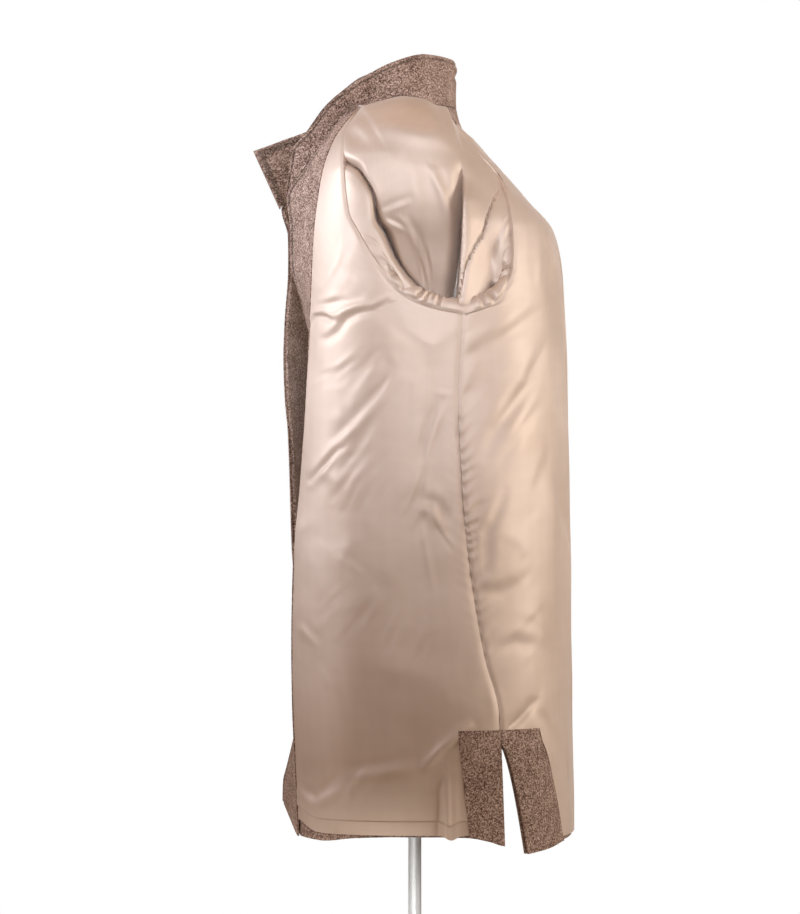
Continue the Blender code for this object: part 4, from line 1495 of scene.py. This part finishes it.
    def grid(self, side: Side, angle: np.ndarray, z: np.ndarray, share: np.ndarray) -> np.ndarray:
        """Points from the armhole seam along the sleeve to its cuff.

        Args:
            side: the sleeve's side.
            angle: the seam's angles.
            z: the seam's heights.
            share: how far each place follows the front's way.

        Returns:
            The points, by step along the sleeve and by place on the seam.
        """
        seam = COAT.arched(COAT.point(side.value, angle, z))
        get = {c: share * self.ways[Panel.FRONT].at(c, z)
               + (1 - share) * self.ways[Panel.BACK].at(c, z)
               for c in ("lead_x", "lead_y", "lead_z", "drop", "out")}
        front_turn = self.ways[Panel.FRONT].at("turn", z)
        on_neck = np.arange(len(z)) >= len(z) - self.neck_counts[side]
        front_turn = np.where(on_neck, front_turn - 360.0, front_turn)
        turn = share * front_turn + (1 - share) * self.ways[Panel.BACK].at("turn", z)
        mouth = self.tube_point(side, turn, self.tube_rows[0])
        lead = np.stack([side.value * get["lead_x"], get["lead_y"], get["lead_z"]], axis=-1)
        sink = np.stack([side.value * get["out"], 0 * z, get["drop"]], axis=-1)
        first, second = seam + lead, mouth + sink
        steps = [(1 - t) ** 3 * seam + 3 * t * (1 - t) ** 2 * first
                 + 3 * t * t * (1 - t) * second + t ** 3 * mouth
                 for t in np.linspace(0, 1, self.turn_counts[side])]
        tube = [self.tube_point(side, turn, height)
                for height in stations(list(self.tube_rows), self.tube_step)[1:]]
        return np.array(steps + tube)

    def depth(self, y: np.ndarray, z: np.ndarray) -> np.ndarray:
        """How far the sleeve's head lies under the body surface, seen from the side.

        From front to back: a band level with the front, a narrow gap, the tongue that falls
        from the shoulder, a deep fold with a sharp back edge, the sleeve's own seam and a
        pocket with a dark hole at its foot.

        Args:
            y: places across the head.
            z: their heights.

        Returns:
            The depths.
        """
        row = {c: self.head.at(c, z) for c in self.head.columns}

        def across(column: str) -> np.ndarray:
            """Distances from a line of the head, square to it."""
            slope = (self.head.at(column, z + 0.003) - self.head.at(column, z - 0.003)) / 0.006
            return (y - row[column]) / np.sqrt(1 + slope ** 2)

        off = across("gap")
        band = self.band_depth + row["rim"] * np.exp(np.minimum(off, 0.0) / self.band_reach)
        tongue = row["tongue"] - (self.rim_share * row["rim"]
                                  * np.exp(-np.maximum(off, 0.0) / self.rim_reach))
        behind = across("ridge")
        tongue = tongue + row["fold"] * bell(np.minimum(behind, 0.0), self.fold_half)
        from_seam = across("back_seam")
        puckers = 1 + 0.4 * np.sin(z * 2 * math.pi / self.seam_pucker + 1.5 * np.sin(z * 90.0))
        pocket = sum(dent.at(y, z) for dent in self.dents)
        back = (self.ridge_depth
                + self.slope_depth * smooth(*self.slope_span, y - row["ridge"])
                - self.seam_rise * smooth(-self.seam_edge, self.seam_edge, from_seam)
                + pocket * smooth(0.0, self.pocket_edge, from_seam)
                + self.seam_deep * puckers * bell(from_seam, self.seam_half))
        lower = smooth(*self.back_span, z)
        back = lower * back + (1 - lower) * (self.ridge_depth + row["tongue"])
        inner = tongue + (back - tongue) * smooth(-self.fold_edge, self.fold_edge, behind)
        blur = self.gap_blur * row["gap_half"]
        return (band + (inner - band) * smooth(-1.0, 1.0, off / blur)
                + row["gap_depth"] * bell(off + self.gap_shift, row["gap_half"]))

    def shaped(self, side: Side, points: np.ndarray) -> np.ndarray:
        """Moves the head's points in or out to their depths, where they can be seen.

        Args:
            side: the sleeve's side.
            points: the sleeve's points.

        Returns:
            The moved points.
        """
        y, z = points[..., 1], points[..., 2]
        start = points[:1, :, 2]
        away = run_lengths(points, 0)
        seen = (smooth(*self.seen_seam, start) * smooth(0.0, 0.002, away)
                * smooth(*self.seen_low, z) * smooth(*self.seen_high, z))
        seen[self.turn_counts[side]:] = 0.0
        shift = 0.0 if side is Side.LEFT else self.far_shift
        target = COAT.side_x(y, z) - self.depth(y - shift, z + shift)
        moved = points.copy()
        moved[..., 0] += seen * (side.value * target - points[..., 0])
        return moved

    def sleeve(self, side: Side) -> None:
        """One sleeve, wool inside and satin outside.

        Args:
            side: its side.
        """
        angle, z, share = self.armhole(side)
        plain = self.grid(side, angle, z, share)
        points = self.shaped(side, plain)
        ring = points[:, :-1]
        across = np.roll(ring, -1, axis=1) - np.roll(ring, 1, axis=1)
        normals = unit(np.cross(np.gradient(ring, axis=0), across))
        outward = np.array([side.value, 0.0, 0.5])
        normals = np.concatenate([normals, normals[:, :1]], axis=1)
        body = unit(surface_normals(lambda a, h: COAT.point(side.value, a, h), angle, z))
        body *= np.sign(body @ outward)[:, None]
        if np.mean(np.sum(normals[2] * body, axis=-1)) < 0:
            normals = -normals
        normals[0] = body
        sheet = Sheet(points, normals, np.ones((len(points) - 1, len(angle) - 1), bool), True)
        self.finish(side, sheet, self.lift(side, sheet), plain)

    def lift(self, side: Side, sheet: Sheet) -> np.ndarray:
        """The gathers along the armhole's lower edge and the folds of the sleeve's head.

        Args:
            side: the sleeve's side.
            sheet: the sleeve's surface.

        Returns:
            The moves along the normals.
        """
        seam_run = run_lengths(sheet.points, 1)[:1]
        away = run_lengths(sheet.points, 0)
        z0, y0 = sheet.points[:1, :, 2], sheet.points[:1, :, 1]
        back_share, full, none, back_y = self.back_gathers
        low = np.maximum(1 - smooth(*self.low_span, z0),
                         back_share * (1 - smooth(full, none, z0)) * (y0 > back_y))
        drift = sum(size * np.sin(seam_run * rate + phase)
                    for size, rate, phase in self.gather_drift)
        wave = np.abs(np.sin(2 * math.pi * seam_run / self.gather_length + drift))
        size, rate, phase = self.gather_swell
        wave = (wave - self.gather_floor) * (1 - size + size * np.sin(seam_run * rate + phase))
        start, end = self.gather_reach
        rolled = smooth(0.0, start, away) * (1 - smooth(end * self.gather_fade, end, away))
        lift = self.gather_height * low * wave * rolled
        shown = 1 - smooth(0.75, 1.0, np.linspace(0, len(sheet.points) / self.turn_counts[side],
                                                  len(sheet.points)))[:, None]
        creases = LEFT_SLEEVE_CREASES if side is Side.LEFT else tuple(
            c.echoed(View.RIGHT, self.echo_shift, self.echo_grow) for c in LEFT_SLEEVE_CREASES)
        shown = shown * smooth(0, self.crease_start, away)
        for crease in creases:
            lift = lift + crease.lift(sheet.points, sheet.normals) * shown
        return lift

    def finish(self, side: Side, sheet: Sheet, lift: np.ndarray, plain: np.ndarray) -> None:
        """Makes, dresses and declares a sleeve's two layers.

        Args:
            side: the sleeve's side.
            sheet: the sleeve's surface.
            lift: the moves of its gathers and creases.
            plain: the surface before its head was shaped, which the wool keeps where deeper.
        """
        self.wardrobe.sew(Cloth.SATIN, f"sleeve_lining_{side.word}",
                          sheet.moved(lift + CLOTH.lining_top), CLOTH.lining,
                          f"sleeve_{side.word}")
        wool = sheet.moved(np.minimum(lift, 0.0))
        deep = np.minimum(side.value * wool.points[..., 0] - self.wool_sink,
                          side.value * plain[..., 0])
        wool.points[..., 0] = side.value * deep
        kept = [*range(0, len(deep) - 1, self.wool_every), len(deep) - 1]
        wool = Sheet(wool.points[kept], wool.normals[kept], wool.cells[:len(kept) - 1], True)
        self.wardrobe.sew(Cloth.WOOL, f"sleeve_{side.word}", wool, CLOTH.wool, "form")


@dataclass
class Collar:
    """The standing collar, sewn to the neck seam and open at the front."""

    wardrobe: Wardrobe
    seat: float = 0.0030
    inner: float = -0.0030
    outer: float = 0.0023
    end_band: float = 0.06
    top_band: float = 0.22
    edge_band: float = 0.035
    steps: tuple[float, float] = (0.0105, 0.036)
    fine_steps: tuple[float, float] = (0.005, 0.018)
    neck_cells: int = 5
    roll: float = 0.0042
    roll_reach: float = 0.011
    back_spread: float = 2.2
    fold_deep: float = 0.0024
    fold_down: float = 0.019
    fold_half: float = 0.0035
    edge_round: float = 0.0018
    stand_lean: float = 0.9
    axis_y: float = -0.01
    unevenness: Unevenness = Unevenness(0.0006, 0.09, 0.03, 7)
    back_shares: tuple[float, ...] = (0.0, 0.2, 0.4, 0.6, 0.79, 0.895, 1.0)
    front_rows: tuple[float, ...] = (1.36, 1.33, 1.30, 1.272)
    rim: dict[Side, tuple[tuple[float, ...], ...]] = field(default_factory=lambda: {
        Side.LEFT: ((0.0, 0.058, 0.084, 0.096, 0.102, 0.106, 0.101),
                    (0.046, 0.014, -0.027, -0.059, -0.091, -0.116, -0.137),
                    (1.436, 1.439, 1.426, 1.408, 1.3845, 1.3515, 1.329)),
        Side.RIGHT: ((0.0, 0.058, 0.084, 0.096, 0.104, 0.102, 0.096),
                     (0.046, 0.014, -0.027, -0.070, -0.120, -0.155, -0.189),
                     (1.436, 1.439, 1.430, 1.404, 1.367, 1.3535, 1.340))})

    def half(self, side: Side) -> tuple[np.ndarray, np.ndarray]:
        """The collar's foot on one side, from the centre back to the front corner.

        Args:
            side: the side.

        Returns:
            Points of the foot, and their lengths from the centre back.
        """
        v = np.array(self.back_shares) * side.value
        high = COAT.back_point(v, np.full_like(v, COAT.neck))
        low = COAT.back_point(v, np.full_like(v, COAT.neck_facing_low))
        foot, lift = list(high), list(unit(high - low))
        share = np.arange(1, self.neck_cells + 1) / self.neck_cells
        start = COAT.seam_angle(side, np.array([COAT.neck]), Panel.BACK)[0]
        end = COAT.seam_angle(side, np.array([COAT.neck]), Panel.FRONT)[0]
        neck = COAT.arched(COAT.point(side.value, start + (end - start) * share,
                                      np.full_like(share, COAT.neck)))
        out = unit(neck * (1, 1, 0) - np.array([0.0, self.axis_y, 0.0]))
        foot += list(neck)
        lift += list(unit(np.array([0.0, 0.0, 1.0]) - self.stand_lean * out))
        for k, z in enumerate((COAT.neck, *self.front_rows)):
            ends = COAT.front_point(side, np.array([1.5, 2.0]), np.full(2, z))
            away = unit(ends[1] - ends[0])
            foot.append(ends[1])
            lift.append(lift[-1] + away if k == 0 else away)
        points = np.array(foot) + self.seat * np.array(lift)
        return points, run_lengths(points[None], 1)[0]

    @staticmethod
    def spread(points: np.ndarray, knots: np.ndarray, shares: np.ndarray) -> np.ndarray:
        """Points of a smooth curve.

        Args:
            points: the points that it goes through.
            knots: their shares of its length.
            shares: the shares at which it is read.

        Returns:
            The points there.
        """
        tables = [Table(tuple(knots), {"p": tuple(points[:, k])}) for k in range(3)]
        return np.stack([table.at("p", shares) for table in tables], axis=-1)

    def build(self) -> None:
        """Builds and dresses the collar."""
        feet, knots, rims, rim_knots = {}, {}, {}, {}
        for side in Side:
            feet[side], lengths = self.half(side)
            knots[side] = side.value * lengths / lengths[-1]
            x, y, z = (np.array(c) for c in self.rim[side])
            rims[side] = np.stack([side.value * x, y, z], axis=-1)
            lengths = run_lengths(rims[side][None], 1)[0]
            rim_knots[side] = side.value * lengths / lengths[-1]

        def joined(parts: dict[Side, np.ndarray]) -> np.ndarray:
            """Both halves in one row, from the right corner to the left one."""
            return np.concatenate([parts[Side.RIGHT][:0:-1], parts[Side.LEFT]])

        inner = 1 - self.end_band
        end = 1 - self.edge_band / 4
        shares = np.concatenate([
            [-1.0], stations([-end, -inner], self.fine_steps[0])[:-1],
            stations([-inner, 0.0, inner], self.steps[0])[:-1],
            stations([inner, end], self.fine_steps[0]), [1.0]])
        foot = self.spread(joined(feet), joined(knots), shares)
        top = self.spread(joined(rims), joined(rim_knots), shares)
        low = 1 - self.top_band
        up = np.concatenate([stations([0.0, low], self.steps[1])[:-1],
                             stations([low, 1 - self.edge_band], self.fine_steps[1]),
                             [1.0]])[:, None, None]
        points = foot + (top - foot) * up
        normals = unit(np.cross(np.gradient(points, axis=0), np.gradient(points, axis=1)))
        if normals[0, 0] @ np.array([-1.0, 0.0, 0.0]) < 0:
            normals = -normals
        sheet = Sheet(points, normals, np.ones((len(up) - 1, len(shares) - 1), bool))
        height = run_lengths(points, 0)
        from_top = height[-1:] - height
        along = run_lengths(points, 1)
        from_end = np.minimum(along, along[:, -1:] - along)
        sheet.stitch = bell(np.minimum(from_top, from_end) - CLOTH.stitch_in, CLOTH.stitch_wide)
        groove = -CLOTH.stitch_deep * sheet.stitch
        back = bell(shares * self.back_spread, 1.0)[None]
        fold = -self.fold_deep * back * bell(from_top - self.fold_down, self.fold_half)
        rolled = -self.roll * back * np.maximum(0.0, 1 - from_top / self.roll_reach) ** 2
        sheet = sheet.moved(groove + fold + rolled + self.outer + self.unevenness.lift(points))
        self.wardrobe.sew(Cloth.WOOL, "collar", sheet, self.outer - self.inner, "back",
                          self.edge_round)


@dataclass
class DressForm:
    """The limbless torso under the coat, covered in jersey, and its steel stand."""

    wardrobe: Wardrobe
    sides: int = 72
    step: float = 0.008
    table: Table = Table(
        (0.70, 0.715, 0.76, 0.86, 0.96, 1.06, 1.16, 1.25, 1.30, 1.331, 1.3545, 1.371, 1.3825,
         1.395, 1.410, 1.418),
        {"width": (0.120, 0.136, 0.146, 0.152, 0.136, 0.132, 0.146, 0.152, 0.154, 0.154, 0.149,
                   0.127, 0.0945, 0.064, 0.056, 0.046),
         "front": (-0.075, -0.088, -0.096, -0.098, -0.084, -0.090, -0.102, -0.094, -0.078,
                   -0.072, -0.068, -0.066, -0.065, -0.064, -0.064, -0.056),
         "back": (0.105, 0.120, 0.132, 0.142, 0.126, 0.128, 0.138, 0.136, 0.0935, 0.0685, 0.0512,
                  0.0424, 0.038, 0.032, 0.030, 0.022)})

    def build(self) -> None:
        """Builds the torso and dresses it and the stand."""
        heights = stations(list(self.table.z), self.step)
        deselect()
        bpy.ops.mesh.primitive_cylinder_add(vertices=self.sides, radius=1.0, depth=2.0)
        piece = bpy.context.object
        piece.name = piece.data.name = "jersey_form"
        low, high = self.table.z[0], self.table.z[-1]
        self.slice(piece, heights, low, high)
        mesh = piece.data
        flat = coordinates(mesh)
        z = low + (flat[:, 2] + 1) / 2 * (high - low)
        front, back = self.table.at("front", z), self.table.at("back", z)
        flat[:, 0] *= self.table.at("width", z)
        flat[:, 1] = (front + back) / 2 + (back - front) / 2 * flat[:, 1]
        flat[:, 2] = z
        mesh.vertices.foreach_set("co", flat.ravel())
        mesh.update()
        bpy.ops.object.shade_smooth_by_angle(angle=SHARP_ANGLE)
        dressed(piece, self.wardrobe.jersey, "form")
        for node in ("pole", "hub", "base"):
            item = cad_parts[node]
            item.data.materials.clear()
            item.data.materials.append(self.wardrobe.steel)
            LOG.info("%s: brushed steel", node)

    @staticmethod
    def slice(piece: bpy.types.Object, heights: np.ndarray, low: float, high: float) -> None:
        """Cuts a tall cylinder across, so that it can be shaped.

        Args:
            piece: the cylinder, two units tall.
            heights: where it is cut.
            low: the height that its foot stands for.
            high: the height that its top stands for.
        """
        for height in heights[1:-1]:
            level = (height - low) / (high - low) * 2 - 1
            in_edit_mode(piece, ("select_all", {"action": "SELECT"}),
                         ("bisect", {"plane_co": (0.0, 0.0, level), "plane_no": (0, 0, 1)}))


def placed(name: str, data: bpy.types.ID) -> bpy.types.Object:
    """Puts a light or a camera in the scene."""
    item = bpy.data.objects.new(name, data)
    bpy.context.scene.collection.objects.link(item)
    return item


@dataclass(frozen=True)
class Lamp:
    """A soft square light: its place, the point that it faces, its width, the angle of its beam
    in degrees, its power in watts and its colour."""

    name: str
    place: tuple[float, float, float]
    aim: tuple[float, float, float]
    size: float
    spread: float
    power: float
    colour: str

    def build(self) -> None:
        """Adds the light."""
        data = bpy.data.lights.new(self.name, "AREA")
        data.size, data.energy, data.color = self.size, self.power, linear(self.colour)[:3]
        data.spread = math.radians(self.spread)
        lamp = placed(self.name, data)
        lamp.location = self.place
        lamp.visible_camera = False
        direction = Vector(self.aim) - Vector(self.place)
        lamp.rotation_euler = direction.to_track_quat("-Z", "Y").to_euler()


@dataclass
class Studio:
    """A pale floor, soft light and the photograph's side view."""

    distance: float = 4.5
    eye: tuple[float, float] = (-0.017, 0.981)
    frame_height: float = 1.0511
    sensor: float = 36.0
    floor_radius: float = 2.1
    paper: tuple[str, str] = ("#ECEAE7", "#F2F0EE")
    mottle_mm: float = 16.7
    lamps: tuple[Lamp, ...] = (
        Lamp("key", (0.34, -1.75, 1.58), (0.16, -0.08, 1.30), 0.6, 54.0, 3.25, "#E4ECFF"),
        Lamp("soft_fill", (2.1, 0.1, 1.50), (0.2, 0.05, 1.26), 0.5, 30.0, 1.06, "#E6EEFF"),
        Lamp("back_fill", (0.50, 1.9, 1.22), (0.1, 0.12, 1.00), 0.9, 76.0, 4.1, "#FFFCFA"),
        Lamp("top_glow", (0.1, 0.0, 2.7), (0.1, 0.0, 1.0), 1.4, 170.0, 4.6, "#FFD9B8"),
        Lamp("low_glow", (0.9, -1.5, 0.25), (0.2, -0.02, 0.74), 0.35, 44.0, 0.10, "#FFF0E4"),
        Lamp("stand_light", (1.6, -0.5, 0.34), (0.0, 0.0, 0.32), 0.25, 16.0, 0.8, "#FFFFFF"))

    def build(self) -> None:
        """Builds the floor, the lights, the surroundings and the camera."""
        self.floor()
        for lamp in self.lamps:
            lamp.build()
        self.surroundings()
        self.camera()

    def floor(self) -> None:
        """A round pale floor under the base."""
        deselect()
        bpy.ops.mesh.primitive_circle_add(vertices=96, radius=self.floor_radius,
                                          fill_type="NGON", location=(0.0, 0.0, 0.0))
        floor = bpy.context.object
        floor.name = "studio_floor"
        # Paper gives an even pale ground with the faintest mottle.
        item, tree, shader, place = new_material("matt_white_paper")
        grain = add_node(tree, "ShaderNodeTexNoise", {"Vector": place,
                                                      "Scale": 1000 / self.mottle_mm})
        tone = add_node(tree, "ShaderNodeValToRGB", {0: grain.outputs[0]},
                        ramp=list(zip((0.3, 0.7), self.paper)))
        set_inputs(tree, shader, {"Base Color": tone.outputs[0], "Roughness": 0.9})
        floor.data.materials.append(item)

    @staticmethod
    def surroundings() -> None:
        """White paper behind the coat, and a dimmer room on the other sides."""
        world = bpy.data.worlds.new("white_studio")
        bpy.context.scene.world = world
        world.use_nodes = True
        tree = world.node_tree
        ray = add_node(tree, "ShaderNodeTexCoord").outputs["Generated"]
        behind = add_node(tree, "ShaderNodeVectorMath", {0: ray, 1: (-1.0, 0.0, 0.0)},
                          operation="DOT_PRODUCT")
        tone = add_node(tree, "ShaderNodeValToRGB", {0: behind.outputs["Value"]},
                        ramp=[(0.60, "#8E7768"), (0.95, "#FFFFFF")])
        tone.color_ramp.interpolation = "EASE"
        set_inputs(tree, tree.nodes["Background"], {"Color": tone.outputs[0]})
        bpy.context.scene.view_settings.view_transform = "Standard"

    def camera(self) -> None:
        """The camera, level with the coat's middle and looking along -X."""
        data = bpy.data.cameras.new("side_view")
        data.sensor_width = self.sensor
        data.lens = self.sensor * self.distance / self.frame_height
        eye = placed("side_view", data)
        eye.location = (self.distance, *self.eye)
        eye.rotation_euler = (math.radians(90), 0.0, math.radians(90))
        bpy.context.scene.camera = eye


def main() -> None:
    """Builds the coat, its form and the studio."""
    logging.basicConfig(level=logging.INFO)
    cloths = {Cloth.SATIN: Satin().material(), Cloth.WOOL: WoolCloth().material()}
    wardrobe = Wardrobe(cloths, CottonJersey().material(), BrushedSteel().material())
    for group in (BodyPanels(wardrobe), Sleeves(wardrobe), Collar(wardrobe), DressForm(wardrobe),
                  Studio()):
        group.build()


if __name__ == "__main__":
    main()
